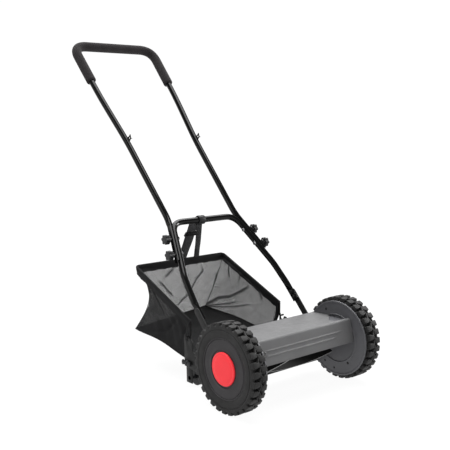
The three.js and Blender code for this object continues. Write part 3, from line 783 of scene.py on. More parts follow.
def cover_rows():
    """Stations up the front panel, round the bend and back over the top to the hemmed rear edge.

    Each is a point and its outward direction in (y, z), and its share of the front panel, or -1 past it.
    """
    front, bend, rear = (Vector(point) for point in cover_profile())
    up, back = bend - front, rear - bend
    panel, deep = up.length, back.length
    up.normalize()
    back.normalize()
    out, lift = Vector((-up.y, up.x)), Vector((-back.y, back.x))
    corner, hem = 6.0, 3
    rows = []
    for i in range(45):
        run = (panel - corner) * i / 44
        rows.append((front + up * run, out, run / panel))
    for n in range(1, 8):
        t = n / 8
        a, c = bend - up * corner, bend + back * corner
        point = a * (1 - t) ** 2 + bend * 2 * t * (1 - t) + c * t * t
        rows.append((point, (out * (1 - t) + lift * t).normalized(), -1))
    for run in [corner, corner + 0.8] + [corner + (deep - corner - hem) * n / 40 for n in range(1, 41)]:
        rows.append((bend + back * run, lift, -1))
    edge = bend + back * (deep - hem)
    for n in range(1, 6):
        turn = math.radians(18 * n)
        point = edge + back * hem * math.sin(turn) - lift * hem * (1 - math.cos(turn))
        rows.append((point, (lift * math.cos(turn) + back * math.sin(turn)).normalized(), -1))
    return rows


def panel_rise(x, share):
    """How far the front panel stands out: its two pressed ribs, less the turned-in lower edge."""
    if share < 0:
        return 0.0
    rise = 0.0
    for middle, left_end in COVER_RIBS:
        end = clamp((left_end - x) / 16) * clamp((x - RIB_RIGHT_END) / 14)
        rise += RIB_HIGH * end * math.exp(-((share - middle) / RIB_WIDE) ** 2)
    return rise - 0.9 * max(0.0, 1 - share / 0.05)


def reel_cover():
    columns = 110
    rows = cover_rows()
    outside, inside = [], []
    for point, normal, share in rows:
        end_x = notch_edge(point.x) if share < 0 else COVER_HALF
        for i in range(columns + 1):
            x = -COVER_HALF + (end_x + COVER_HALF) * i / columns
            spot = point + normal * panel_rise(x, share)
            under = spot - normal * COVER_SHEET
            outside.append((x, spot.x, spot.y))
            inside.append((x, under.x, under.y))
    build = Build()
    build.add(outside + inside, sheet_faces(len(rows), columns + 1), "grey")
    build.piece("folded_cover", "chassis", ["reel_cover"], crease=40)


def fastener(build, x, y, z, toward, kind="hex", radius=5.2, height=3.2, look="zinc"):
    """Adds a bolt or screw head whose seat is at x and which points along toward times X."""
    def put(points, faces):
        build.add([(x + toward * px, py, pz) for px, py, pz in points], faces, look)
    put(*lathe([(0, 0), (radius * 1.25, 0), (radius * 1.25, 0.8), (radius * 1.2, 1.0), (0, 1.0)], y=y, z=z,
               segments=28))
    if kind == "hex":
        put(*slab(circle(radius, 6, y, z, 0.3), 0.8, height))
        put(*lathe([(0, height - 0.2), (radius * 0.8, height - 0.2), (radius * 0.7, height + 0.25),
                    (0, height + 0.3)], y=y, z=z, segments=24))
    else:
        put(*lathe([(0, 0.5), (radius, 0.8), (radius * 0.96, height * 0.5), (radius * 0.75, height * 0.85),
                    (radius * 0.4, height), (0, height)], y=y, z=z, segments=28))


def cover_screw():
    """A small domed screw near the right end of the front panel, its cross slot painted as shade: two matte
    black bars laid over the dome.
    """
    build = Build()
    front, bend, _ = cover_profile()
    up = Vector((0, bend[0] - front[0], bend[1] - front[1])).normalized()
    out = Vector((0, -up.z, up.y))
    seat = Vector((-128, -50.4, 133.3))
    dome = [(0, 0.2), (4.4, 0.2), (4.4, 0.7), (3.9, 1.3), (3.0, 1.9), (1.9, 2.2), (0, 2.3)]
    points, faces = lathe(dome, z=0, segments=32)
    points = [tuple(seat + out * px + up * pz + Vector((py, 0, 0))) for px, py, pz in points]
    build.add(points, faces, "edge")
    # The cross slot's recess is painted shade: thin matte black bars standing just proud of the dome, not a
    # cut slot.
    for turn in (0.4, 0.4 + math.pi / 2):
        bar = Vector((math.cos(turn), 0, 0)) + up * math.sin(turn)
        wide = Vector((-math.sin(turn), 0, 0)) + up * math.cos(turn)
        build.add(*turned_box(seat, (bar, wide, out), ((-1.9, 1.9), (-0.3, 0.3), (2.0, 2.36))), "matte")
    build.piece("cover_screw_head", "chassis", ["cover_screw"], crease=40)


def knife():
    build = Build()
    bar = [(57, 38), (76.4, 34), (76.4, 56), (82.4, 56), (82.4, 27.3), (57, 31.5)]
    build.add(*slab(bar, -157.8, 157.8), "gloss")
    build.piece("cutter_bar", "chassis", ["knife_bar"], bevel=0.8)
    build = Build()
    edge = [(51.5, 43.2), (76, 38.2), (76, 34.7), (52, 39.6), (51.5, 42.4)]
    build.add(*slab(edge, -REEL_HALF - 4, REEL_HALF + 4), "edge")
    for x in (-110, -37, 37, 110):
        points, faces = lathe([(0, 0), (4.4, 0), (3.6, 1.2), (0, 1.5)], y=0, z=0, segments=20)
        build.add([(x + pz, 66 + py, 40.1 + px) for px, py, pz in points], faces, "zinc")
    build.piece("bed_knife_blade", "chassis", ["bed_knife"], bevel=0.2, bevel_steps=1)


def reel_blades():
    build = Build()
    steps = 60
    section = [(REEL_ROOT, -1.2), (REEL_R - 2.6, -1.3), (REEL_R, -0.5), (REEL_R, 1.2), (REEL_ROOT, 1.2)]
    for blade in range(BLADES):
        stations = []
        for n in range(steps + 1):
            share = n / steps
            angle = 2 * math.pi * blade / BLADES + REEL_START + REEL_TWIST * share
            stations.append([(-REEL_HALF + 2 * REEL_HALF * share,
                              REEL_Y + r * math.cos(angle) - w * math.sin(angle),
                              REEL_Z + r * math.sin(angle) + w * math.cos(angle)) for r, w in section])
        build.add(*loft(stations), "blade")
    build.piece("helical_blades", "reel", [f"reel_blade_{i + 1}" for i in range(BLADES)], crease=30)


def reel_spiders():
    build = Build()
    for x in (-REEL_HALF + 4, 0.0, REEL_HALF - 4):
        turn = REEL_START + REEL_TWIST * ((x + REEL_HALF) / (2 * REEL_HALF))
        outline, hole = [], []
        count, hub_r, bore_r = 60, 12.5, 6.3
        for i in range(count):
            angle = 2 * math.pi * i / count + turn
            lobe = 0.5 + 0.5 * math.cos(BLADES * (angle - turn))
            radius = hub_r + (REEL_ROOT - 0.6 - hub_r) * lobe ** 1.6
            outline.append(polar(REEL_Y, REEL_Z, radius, angle))
            hole.append(polar(REEL_Y, REEL_Z, bore_r, angle))
        build.add(*ring_slab(outline, hole, x - 1.5, x + 1.5), "gloss")
        boss = [(6.2, x - 7), (10, x - 7), (10.5, x - 6.4), (10.5, x + 6.4), (10, x + 7), (6.2, x + 7)]
        build.add(*lathe(boss, y=REEL_Y, z=REEL_Z, segments=32), "gloss")
    build.piece("reel_spiders", "reel", ["reel_spider_right", "reel_spider_middle", "reel_spider_left"],
                bevel=0.4)


def reel_drive():
    """The reel's shaft and the two pinions that the wheels' gear rings turn."""
    build = Build()
    shaft = [(0, -180), (5.2, -180), (6, -179.2), (6, 179.2), (5.2, 180), (0, 180)]
    build.add(*lathe(shaft, y=REEL_Y, z=REEL_Z, segments=32), "gloss")
    build.piece("drive_shaft", "reel", ["reel_shaft"])
    heading = math.atan2(REEL_Z - AXLE_Z, REEL_Y)
    for (name, side), body in zip(SIDES, ("reel", "drive_pinion_left")):
        build = Build()
        outer, inner = teeth(PINION_TEETH, REEL_Y, REEL_Z, heading, 1, 6.3)
        build.add(*ring_slab(outer, inner, side * 166.6, side * 176.4), "zinc")
        build.piece(f"drive_pinion_{name}", body, [f"pinion_{name}"], bevel=0.3)


# ---- Rear end ----
def rear_end(name, side):
    build = Build()
    arm = [(70, 76), (84, 88), (96, 90), (150, 88), (165, 90), (165, 112), (172, 120), (180, 120),
           (182.5, 112), (191, 112), (193, 126), (197, 126), (197, 50), (175, 48), (150, 44), (92, 40),
           (84, 46), (84, 58), (72, 60)]
    build.add(*slab(arm, side * ARM_IN, side * ARM_OUT), "matte")
    build.piece(f"hanger_arm_{name}", "chassis", [f"rear_arm_{name}"], bevel=0.7)
    build = Build()
    half, foot, top = 11.0, 10, 74
    outer = [(ROLLER_Y - half, foot), (ROLLER_Y + half, foot), (ADJUST_Y + half, top),
             (ADJUST_Y - half, top)]
    build.add(*slab(outer, side * 152.3, side * 155.0), "gloss")
    build.piece(f"carrier_{name}", "roller_carriage", [f"roller_carrier_{name}"], bevel=0.7)
    wing_screw(name, side)


def wing_screw(name, side):
    build = Build()
    seat = 158.8
    screw = [(0, 149.2), (3, 149.2), (3, seat), (7, seat), (6.6, seat + 1), (6, seat + 5),
             (3, seat + 6), (0, seat + 6)]
    build.add(*lathe(screw, y=ADJUST_Y, z=ADJUST_Z, segments=24, side=side), "plastic")
    outline = ((4, -3.4), (13, -6.5), (16.6, -4), (17, 2), (14, 6.5), (8, 5), (4, 3.4))
    for way in (1, -1):
        wing = [(ADJUST_Y + way * out, ADJUST_Z + rise) for out, rise in outline]
        build.add(*slab(wing, side * (seat + 1.6), side * (seat + 5.4)), "plastic")
    build.piece(f"wing_{name}", f"wing_screw_{name}", [f"wing_screw_{name}"], bevel=0.9)


def roller():
    build = Build()
    profile = [(0, -155), (5, -155), (5, -138), (17, -138), (18, -137.2)]
    bands, length = 9, 274
    for i in range(bands):
        start = -length / 2 + i * length / bands
        end = start + length / bands
        profile += [(20.4, start), (ROLLER_R, start + 1.4), (ROLLER_R, end - 3.0), (20.6, end - 1.6)]
    profile += [(18, 137.2), (17, 138), (5, 138), (5, 155), (0, 155)]
    build.add(*lathe(profile, y=ROLLER_Y, z=ROLLER_Z, segments=56), "plastic")
    build.piece("ground_roller", "rear_roller", ["roller"], crease=30)


# ---- Handle ----
def loop_x(s):
    return LOOP_CORNER + LOOP_SPLAY * s


def loop_path():
    points = [on_handle(-FOOT_X, LOOP_FOOT - 2), on_handle(-FOOT_X, LOOP_END - 18),
              on_handle(-loop_x(LOOP_KNEE), LOOP_KNEE), on_handle(-LOOP_CORNER, 0), on_handle(LOOP_CORNER, 0),
              on_handle(loop_x(LOOP_KNEE), LOOP_KNEE), on_handle(FOOT_X, LOOP_END - 18),
              on_handle(FOOT_X, LOOP_FOOT - 2)]
    return refine(rounded(points, [0, 12, 14, 32, 32, 14, 12, 0]), 9)


def middle_loop():
    """The loop of tube; each leg is pressed flat towards its foot."""
    path = loop_path()
    count = 28

    def section(i):
        down = (BAR_Z - path[i].z) / math.sin(SLOPE)
        flat = ease((down - (LOOP_END - 12)) / 16)
        power = 1 - 0.6 * flat
        half_thick = TUBE_R * (1 - flat) + 3.0 * flat
        half_wide = TUBE_R * (1 - flat) + 9.0 * flat
        ring = []
        for n in range(count):
            angle = 2 * math.pi * n / count
            across, out = math.cos(angle), math.sin(angle)
            ring.append((math.copysign(abs(across) ** power, across) * half_thick,
                         math.copysign(abs(out) ** power, out) * half_wide))
        return ring

    build = Build()
    build.add(*sweep(path, section, HANDLE_NORMAL), "gloss")
    build.piece("loop_tube", "handle", ["middle_loop"], crease=45)


def upper_path():
    leg = [(loop_x(UPPER_END) + UPPER_OFFSET, UPPER_END, 0), (BEND_X, -8, 22), (TAB_X, TAB_S, 40),
           (BOW_X, BOW_S, 50), (TOP_X, TOP_S, 44)]
    points = [on_handle(-x, s) for x, s, _ in leg] + [on_handle(x, s) for x, s, _ in reversed(leg)]
    corners = [c for _, _, c in leg] + [c for _, _, c in reversed(leg)]
    return refine(rounded(points, corners), 14)


def upper_handle():
    """The upper tube; below the crossbar its inner wall is dished to seat on the loop's leg."""
    path = upper_path()
    count = 28

    def section(i):
        down = (BAR_Z - path[i].z) / math.sin(SLOPE)
        dish = clamp((down - 2) / 20)
        inward = 1 if path[i].x < 0 else -1
        seat = UPPER_OFFSET * 0.96
        ring = []
        for n in range(count):
            angle = 2 * math.pi * n / count
            a, b = TUBE_R * math.cos(angle), TUBE_R * math.sin(angle)
            reach = (TUBE_R + 0.35) ** 2 - b * b
            if dish > 0 and reach > 0:
                limit = math.sqrt(reach) - seat
                if a * inward < limit:
                    a = a * (1 - dish) + limit * inward * dish
            ring.append((a, b))
        return ring

    build = Build()
    build.add(*sweep(path, section, HANDLE_NORMAL), "gloss")
    build.piece("upper_tube", "handle", ["upper_handle"], crease=50)


def grip():
    path = [p for p in refine(upper_path(), 6) if (BAR_Z - p.z) / math.sin(SLOPE) < GRIP_END]
    share = (GRIP_END - BOW_S) / (TOP_S - BOW_S)
    end_x = BOW_X + share * (TOP_X - BOW_X)
    path = [on_handle(-end_x, GRIP_END)] + path + [on_handle(end_x, GRIP_END)]
    start, stop = path[0], path[-1]
    path.insert(1, start.lerp(path[1], 0.25))
    path.insert(len(path) - 1, stop.lerp(path[-2], 0.25))
    last = len(path) - 1

    def section(i):
        edge = min(i, last - i)
        return circle(GRIP_R - (1.6 if edge == 0 else 0.5 if edge == 1 else 0.0), 32)

    build = Build()
    build.add(*sweep(path, section, HANDLE_NORMAL), "foam")
    obj = build.piece("foam_sleeve", "handle", ["foam_grip"], crease=60)


def lower_bar(name, side):
    build = Build()
    half = 9
    top = on_handle(0, LOOP_END + 2 + half)
    pivot_s = (BAR_Y - PIVOT_Y) / math.cos(SLOPE)
    low = on_handle(0, pivot_s + 13)
    heading = math.atan2(low.z - top.z, low.y - top.y)
    outline = []
    for centre, start in ((low, heading - math.pi / 2), (top, heading + math.pi / 2)):
        outline += [polar(centre.y, centre.z, half, start + math.pi * n / 12) for n in range(13)]
    build.add(*slab(outline, side * ARM_IN, side * ARM_OUT), "matte")
    build.piece(f"handle_bar_{name}", "handle", [f"lower_bar_{name}"], bevel=0.7, crease=30)


def hook_tab(name, side):
    """A small forked plate standing on the handle leg, with one hole."""
    outer, inner = [], []
    shape = [(-7.2, 8.4), (-6.4, 12), (-5.0, 15.5), (-7.4, 20.8), (-3.2, 18.2), (0, 18.6), (3.4, 19.8),
             (7.4, 21.0), (5.6, 17.0), (5.2, 13), (6.6, 8.4), (0, 8.3)]
    hole_r, hole_lift, foot_lift, lean = 2.5, 14.2, 8.4, 0.28
    for along, lift in shape:
        point = on_handle(0, TAB_S - along, lift)
        outer.append((point.y, point.z))
        share = hole_r / math.hypot(along, lift - hole_lift)
        point = on_handle(0, TAB_S - along * share, hole_lift + (lift - hole_lift) * share)
        inner.append((point.y, point.z))
    build = Build()
    points, faces = ring_slab(outer, inner, side * (TAB_X - 1.1), side * (TAB_X + 1.5))
    foot = on_handle(0, TAB_S)
    rise = on_handle(0, TAB_S, 1) - foot
    points = [(x + lean * max(0.0, (Vector((0, y, z)) - foot).dot(rise) - foot_lift), y, z)
              for x, y, z in points]
    build.add(points, faces, "gloss")
    build.piece(f"cable_hook_{name}", "handle", [f"hook_tab_{name}"], bevel=0.35, bevel_steps=2)


def star_knob(name, side, level, spot, outside):
    """Six round lobes on a narrower foot, with a cap over the nut."""
    build = Build()
    for x1, x2, size in ((0.0, 3.0, 0.78), (3.0, 14.0, 1.0)):
        ring = []
        for n in range(72):
            angle = 2 * math.pi * n / 72
            wave = 0.5 - 0.5 * math.cos(6 * angle)
            ring.append(polar(spot.y, spot.z, (12.5 - 3.0 * wave ** 1.4) * size, angle))
        build.add(*slab(ring, side * (outside + x1), side * (outside + x2)), "plastic")
    cap = [(0, outside + 13.6), (4.6, outside + 13.6), (4.6, outside + 14.0), (3.4, outside + 13.9),
           (0, outside + 13.2)]
    build.add(*lathe(cap, y=spot.y, z=spot.z, segments=24, side=side), "plastic")
    collar = [(0, outside - 3.4), (6.2, outside - 3.4), (6.8, outside - 2.6), (7.4, outside + 0.2),
              (0, outside + 0.2)]
    build.add(*lathe(collar, y=spot.y, z=spot.z, segments=32, side=side), "plastic")
    build.piece(f"star_{level}_{name}", f"star_knob_{level}_{name}", [f"star_knob_{level}_{name}"],
                bevel=0.8, bevel_steps=3)


def shank(build, side, spot, x1, x2):
    """The plain round body of a handle bolt."""
    rod = [(0, x1), (2.9, x1), (2.9, x2), (0, x2)]
    build.add(*lathe(rod, y=spot.y, z=spot.z, segments=16, side=side), "matte")


def knobs_and_bolts():
    knob_bolts, bar_bolts = Build(), Build()
    lean = math.cos(math.atan(LOOP_SPLAY))
    levels = ("upper", "lower")
    for name, side in SIDES:
        for s, level in zip(KNOB_S, levels):
            spot = on_handle(0, s)
            outside = loop_x(s) + UPPER_OFFSET + TUBE_R / lean + 4
            inside = loop_x(s) - TUBE_R / lean - 2
            star_knob(name, side, level, spot, outside)
            fastener(knob_bolts, side * (inside + 1.9), spot.y, spot.z, -side, "dome", 3.9, 1.9)
            shank(knob_bolts, side, spot, inside - 0.4, outside + 8.8)
        for s in BAR_BOLT_S:
            spot = on_handle(0, s)
            fastener(bar_bolts, side * 149.1, spot.y, spot.z, -side, "hex", 5.0, 2.8, "matte")
            shank(bar_bolts, side, spot, 149, 158.6)
    for build, kind in ((knob_bolts, "knob_bolt"), (bar_bolts, "bar_bolt")):
        build.piece(f"{kind}s", "handle", [f"{kind}_{level}_{name}" for level in levels for name, _ in SIDES],
                    crease=35)


def chassis_fasteners():
    """The pivot bolts, reel bearings and axle bolts of both sides."""
    build = Build()
    pivot = [(0, 155), (4, 155), (4, 163.2), (0, 163.2)]
    bearing = [(6.3, 157.6), (9.2, 157.6), (10, 158.4), (10, 163.5), (6.3, 163.5)]
    axle = [(0, 155), (4.4, 155), (5, 155.8), (5, 162.8), (8, 162.8), (8, 200.9), (13, 200.9),
            (13, 202.4), (12, 203), (0, 203)]
    names = []
    for name, side in SIDES:
        fastener(build, side * 155.3, PIVOT_Y, PIVOT_Z, -side, "hex", 6.4, 3.6)
        build.add(*lathe(pivot, y=PIVOT_Y, z=PIVOT_Z, segments=20, side=side), "zinc")
        build.add(*lathe(bearing, y=REEL_Y, z=REEL_Z, segments=32, side=side), "zinc")
        build.add(*lathe(axle, segments=40, side=side), "zinc")
        names += [f"handle_pivot_bolt_{name}", f"reel_bearing_{name}", f"axle_bolt_{name}"]
    build.piece("chassis_fasteners", "chassis", names, crease=35)


def strap_clip():
    build = Build()
    sleeve = [(8.2, -22), (10.6, -22), (11.6, -21), (11.6, -3), (10.6, -2), (8.2, -2)]
    build.add(*lathe(sleeve, y=BAR_Y, z=BAR_Z, segments=32), "plastic")
    for x in (-19.5, -5.5):
        build.add(*slab([(BAR_Y + 3, BAR_Z - 15.5), (BAR_Y + 12, BAR_Z - 11), (BAR_Y + 12, BAR_Z - 3),
                         (BAR_Y + 4, BAR_Z - 6)], x - 1.6, x + 1.6), "plastic")
    build.piece("crossbar_clip", "handle", ["strap_clip"], bevel=0.5)


# ---- Grass bag ----
WIRE_X = BAG_HALF - 3
BAG_BACK_CORNER = {"right": (-146.0, 424.0, 89.0), "left": (86.0, 421.0, 113.0)}
# Each fold: its wall, its line as (x, z) on the back or (y, z) on a side, its height and half width.
FOLDS = (
    ("back", [(-20, 130), (0, 146), (15, 155), (30, 176), (46, 198), (70, 217), (64, 238)], 4.5, 3.2),
    ("back", [(-60, 217), (-26, 238)], 2.8, 3.0),
    ("back", [(-82, 210), (-54, 180), (-30, 158)], 3.2, 3.0),
    ("back", [(131, 226), (110, 202), (98, 168)], 3.4, 3.2),
    ("left", [(424, 112), (408, 123), (380, 141), (346, 149), (319, 164), (296, 181), (312, 198)], 8.5, 6.8),
    ("left", [(420, 113), (392, 120), (346, 130), (309, 144)], 3.8, 3.0),
    ("left", [(418, 112), (380, 116), (328, 124), (241, 147)], 3.4, 2.8),
    ("left", [(384, 232), (360, 190)], 3.0, 3.2),
    ("left", [(338, 212), (330, 184)], 3.0, 3.0),
    ("left", [(262, 176), (240, 150)], 2.2, 4.0),
    ("right", [(400, 232), (345, 176), (300, 128)], 3.0, 7.0),
    ("right", [(250, 150), (300, 108), (375, 94)], 2.6, 6.0),
    ("right", [(215, 140), (225, 96)], 2.4, 6.0),
)


# How far the gaps close at rest on the two sides, where the netting is seen doubled.
RIGHT_CLOSE, LEFT_CLOSE = 0.56, 0.43


def waist(v):
    """How far the cloth pulls in between rim (0) and floor (1)."""
    return math.sin(math.pi * v ** 0.85)


def floor_edge(way, t):
    """The floor's edge on one side, t from its front to the back corner, arched between them."""
    corner = Vector(BAG_BACK_CORNER["left" if way > 0 else "right"])
    spot = Vector((way * FLOOR_HALF, *FLOOR_FRONT)).lerp(corner, t)
    spot.z += FLOOR_ARCH * math.sin(math.pi * t) ** 2
    return spot


def bag_wall_point(h, v):
    """h runs 0..1 back along the right side, 1..2 across the back and 2..3 forward on the left."""
    drop = 3.0
    if h <= 1 or h >= 2:
        way, t = (-1, h) if h <= 1 else (1, 3 - h)
        top = Vector((way * WIRE_X, RIM_FRONT[0] + 4 + (RIM_REAR[0] - RIM_FRONT[0] - 4) * t,
                      RIM_FRONT[1] - drop + (RIM_REAR[1] - RIM_FRONT[1]) * t))
        point = top.lerp(floor_edge(way, t), v)
        share = 1.0 if h <= 1 else 0.55
        pull = waist(v)
        point.x -= way * share * pull * (3 + 12 * math.sin(math.pi * t * 0.6) + 6 * t ** 5)
        point.y -= share * pull * 33 * t ** 5
        return point
    t = h - 1
    top = Vector((WIRE_X * (2 * t - 1), RIM_REAR[0], RIM_REAR[1] - drop))
    low = Vector(BAG_BACK_CORNER["right"]).lerp(Vector(BAG_BACK_CORNER["left"]), t)
    point = top.lerp(low, v)
    share = 1.0 - 0.45 * t
    side_pull = 3 + 12 * math.sin(math.pi * 0.6) + 6
    pull = waist(v)
    point.x += share * pull * side_pull * (1 - 2 * t) * abs(1 - 2 * t)
    edge = abs(2 * t - 1)
    point.y -= share * pull * (12 + 21 * edge ** 4)
    return point


def nearest_on(curve, point):
    """Distance from a flat point to a polyline, and how far along it, 0 to 1."""
    best, where = 1e9, 0.0
    count = len(curve) - 1
    for i in range(count):
        a, b = Vector(curve[i]), Vector(curve[i + 1])
        span = b - a
        t = clamp((point - a).dot(span) / span.length_squared)
        gap = (a + span * t - point).length
        if gap < best:
            best, where = gap, (i + t) / count
    return best, where


def ripple(h, v):
    """Soft unevenness of loosely hung cloth."""
    return (1.5 * math.sin(9.1 * h + 5.2 * v) + 1.1 * math.sin(17.3 * h - 8.1 * v + 1.3)
            + 0.7 * math.sin(31.0 * h + 13.7 * v + 0.4)) * math.sin(math.pi * min(1, v * 1.02)) ** 0.6


def wall_close(h):
    """How far the netting's gaps close on each side, easing in round the back corners."""
    return RIGHT_CLOSE * ease((1.12 - h) / 0.16) + LEFT_CLOSE * ease((h - 1.62) / 0.75)


def bag_wall_grid():
    stations = [3 * i / 260 for i in range(261)]
    rows = 76
    points, folded, uvs = [], [], []
    for r in range(rows):
        v = r / (rows - 1)
        run = 0.0
        last = None
        for h in stations:
            spot = bag_wall_point(h, v)
            along = bag_wall_point(min(3, h + 0.01), v) - bag_wall_point(max(0, h - 0.01), v)
            down = bag_wall_point(h, min(1, v + 0.01)) - bag_wall_point(h, max(0, v - 0.01))
            normal = along.cross(down).normalized()
            rise = ripple(h, v)
            wall = "right" if h < 1 else "back" if h < 2 else "left"
            fold = wall_close(h)
            flat = Vector((spot.x if wall == "back" else spot.y, spot.z))
            for place, curve, height, width in FOLDS:
                if place != wall:
                    continue
                gap, where = nearest_on(curve, flat)
                if gap < 4 * width:
                    ends = min(1.0, 6 * where + 0.35) * min(1.0, 4 * (1 - where) + 0.15)
                    rise += height * ends * math.exp(-(gap / width) ** 2)
                    fold = max(fold, ends * math.exp(-(gap / (0.95 * width)) ** 2))
            shown = spot - normal * rise
            if last is not None:
                run += (spot - last).length
            last = spot
            points.append(tuple(shown))
            folded.append(fold)
            uvs.append((run / 1000, 0.165 * v))
    return points, folded, uvs, rows, len(stations)


def cloth_piece(name, points, faces, uvs, look, folded=None):
    data = bpy.data.meshes.new(name)
    data.from_pydata([at(*p) for p in points], [], faces)
    layer = data.uv_layers.new(name="UVMap")
    for loop in data.loops:
        layer.data[loop.index].uv = uvs[loop.vertex_index]
    if folded:
        mark = data.attributes.new("fold", "FLOAT", "POINT")
        mark.data.foreach_set("value", folded)
    data.materials.append(FINISH[look])
    obj = bpy.data.objects.new(name, data)
    bpy.context.collection.objects.link(obj)
    smooth(obj, 80)
    return obj


def bag_walls():
    """The two sides and the back are one sheet of netting, pulled in between rim and floor."""
    points, folded, uvs, rows, columns = bag_wall_grid()
    walls = cloth_piece("bag_walls", points, grid_faces(rows, columns), uvs, "mesh", folded=folded)
    settle(walls, "grass_bag", ["bag_shell"])


def bag_floor():
    rows, columns = 48, 56
    points, uvs = [], []
    for r in range(rows):
        t = r / (rows - 1)
        left, right = floor_edge(1, t), floor_edge(-1, t)
        for c in range(columns):
            e = c / (columns - 1)
            spot = right.lerp(left, e)
            belly = math.sin(math.pi * e) * math.sin(math.pi * t)
            spot.z -= 5 * belly - 0.8 * math.sin(21 * e + 9 * t) * belly
            points.append(tuple(spot))
            uvs.append((spot.x / 1000, spot.y / 1000))
    floor = cloth_piece("bag_floor", points, grid_faces(rows, columns), uvs, "cloth")
    settle(floor, "grass_bag")


def binding(path, downs, depth, wave=0.0):
    """A folded cloth binding along a path: round over the edge, flat and hanging along each down."""
    stations = []
    for i, spot in enumerate(path):
        tangent = heading_at(path, i)
        down = downs[i] - tangent * downs[i].dot(tangent)
        down.normalize()
        out = tangent.cross(down)
        deep = depth + wave * math.sin(i * 0.9) + 0.5 * wave * math.sin(i * 2.3 + 1)
        puff = 0.25 * math.sin(i * 0.7)
        section = [(3.3 * math.cos(math.pi * n / 8), -3.2 * math.sin(math.pi * n / 8)) for n in range(9)]
        section += [(-2.7 - puff, 0.35 * deep), (-1.5, 0.7 * deep), (-1.2, 0.82 * deep), (-1.1, deep),
                    (1.1, deep), (1.2, 0.82 * deep), (1.5, 0.7 * deep), (2.7 + puff, 0.35 * deep)]
        stations.append([spot + out * across + down * below for across, below in section])
    return loft(stations)


def rim_path():
    points = [Vector((-WIRE_X, RIM_FRONT[0] - 3, RIM_FRONT[1])), Vector((-WIRE_X, *RIM_REAR)),
              Vector((WIRE_X, *RIM_REAR)), Vector((WIRE_X, RIM_FRONT[0] - 3, RIM_FRONT[1]))]
    return refine(rounded(points, [0, 12, 12, 0], 8), 5)


def bag_hem():
    """The black binding round the rim's wire, down the two front edges and along the floor's front."""
    build = Build()
    path = rim_path()
    downs = []
    for spot in path:
        lean = 0.1 if abs(spot.x) > WIRE_X - 6 else 0.0
        downs.append(Vector((-lean * math.copysign(1, spot.x), -0.12 if abs(spot.x) < WIRE_X - 6 else 0, -1)))
    build.add(*binding(path, downs, 18, 0.9), "hem")
    for way in (-1, 1):
        front = [Vector((way * WIRE_X, RIM_FRONT[0] - 2, RIM_FRONT[1] - 2)),
                 Vector((way * (WIRE_X - 1), RIM_FRONT[0] + 1, 136)),
                 Vector((way * (WIRE_X - 4), RIM_FRONT[0] + 5, 104)),
                 Vector((way * FLOOR_HALF, FLOOR_FRONT[0], FLOOR_FRONT[1] + 1))]
        run = refine(front, 4)
        run = [p + Vector((way * 0.9 * math.sin(k * 0.8), 0.8 * math.sin(k * 0.55), 0))
               for k, p in enumerate(run)]
        build.add(*binding(run, [Vector((0, 1, 0.05))] * len(run), 8.5, 0.8), "hem")
    clear = FLOOR_FRONT[0] + 3.4        # the raised roller passes just in front
    half = FLOOR_HALF - 1
    floor_front = refine([Vector((-half, clear, FLOOR_FRONT[1])), Vector((0, clear, FLOOR_FRONT[1] - 1)),
                          Vector((half, clear, FLOOR_FRONT[1]))], 6)
    build.add(*binding(floor_front, [Vector((0, 1, 0.12))] * len(floor_front), 9, 0.4), "hem")
    for way in (-1, 1):
        seam = [bag_wall_point(1.0 if way < 0 else 2.0, v / 14) for v in range(1, 15)]
        tube_any(seam, 0.9, 8, "hem", build)
        tube_any([floor_edge(way, k / 12) for k in range(13)], 1.5, 8, "hem", build)
    right, left = Vector(BAG_BACK_CORNER["right"]), Vector(BAG_BACK_CORNER["left"])
    tube_any([right.lerp(left, k / 12) for k in range(13)], 1.5, 8, "hem", build)
    build.piece("bag_binding", "grass_bag", crease=60)


def frame_path():
    hook = (187.0, 122.0)
    corner = (RIM_FRONT[0] - 3, RIM_FRONT[1])
    points = [(-WIRE_X - 14, *hook), (-WIRE_X, *hook), (-WIRE_X, *corner), (-WIRE_X, *RIM_REAR),
              (WIRE_X, *RIM_REAR), (WIRE_X, *corner), (WIRE_X, *hook), (WIRE_X + 14, *hook)]
    return refine(rounded([Vector(p) for p in points], [0, 5, 8, 12, 12, 8, 5, 0], 8), 12)


def tube_any(path, radius, count, look, build):
    """A tube along a path that leaves its plane, with frames carried along it."""
    start = (path[1] - path[0]).normalized()
    normal = Vector((1, 0, 0)) if abs(start.x) < 0.9 else Vector((0, 0, 1))
    stations = []
    for i, point in enumerate(path):
        tangent = heading_at(path, i)
        normal = (normal - tangent * normal.dot(tangent)).normalized()
        side = tangent.cross(normal)
        angles = [2 * math.pi * n / count for n in range(count)]
        stations.append([point + normal * radius * math.cos(angle) + side * radius * math.sin(angle)
                         for angle in angles])
    build.add(*loft(stations), look)


def bag_wire():
    build = Build()
    tube_any(frame_path(), 2.4, 12, "gloss", build)
    build.piece("rim_wire", "grass_bag", ["bag_frame"], crease=60)


STRAP_TOP = Vector((0, BAR_Y + 9.6, BAR_Z - 9.6))
STRAP_FOOT = Vector((0, RIM_REAR[0] - 2.6, RIM_REAR[1] + 3.4))
ACROSS = Vector((1, 0, 0))
STRAP_NORMAL = (STRAP_FOOT - STRAP_TOP).cross(ACROSS).normalized()
# Each leg: where it starts and ends across the mower, and its width.
WIDE_LEG, NARROW_LEG = (-27, 0, 30), (-8, 50, 18)


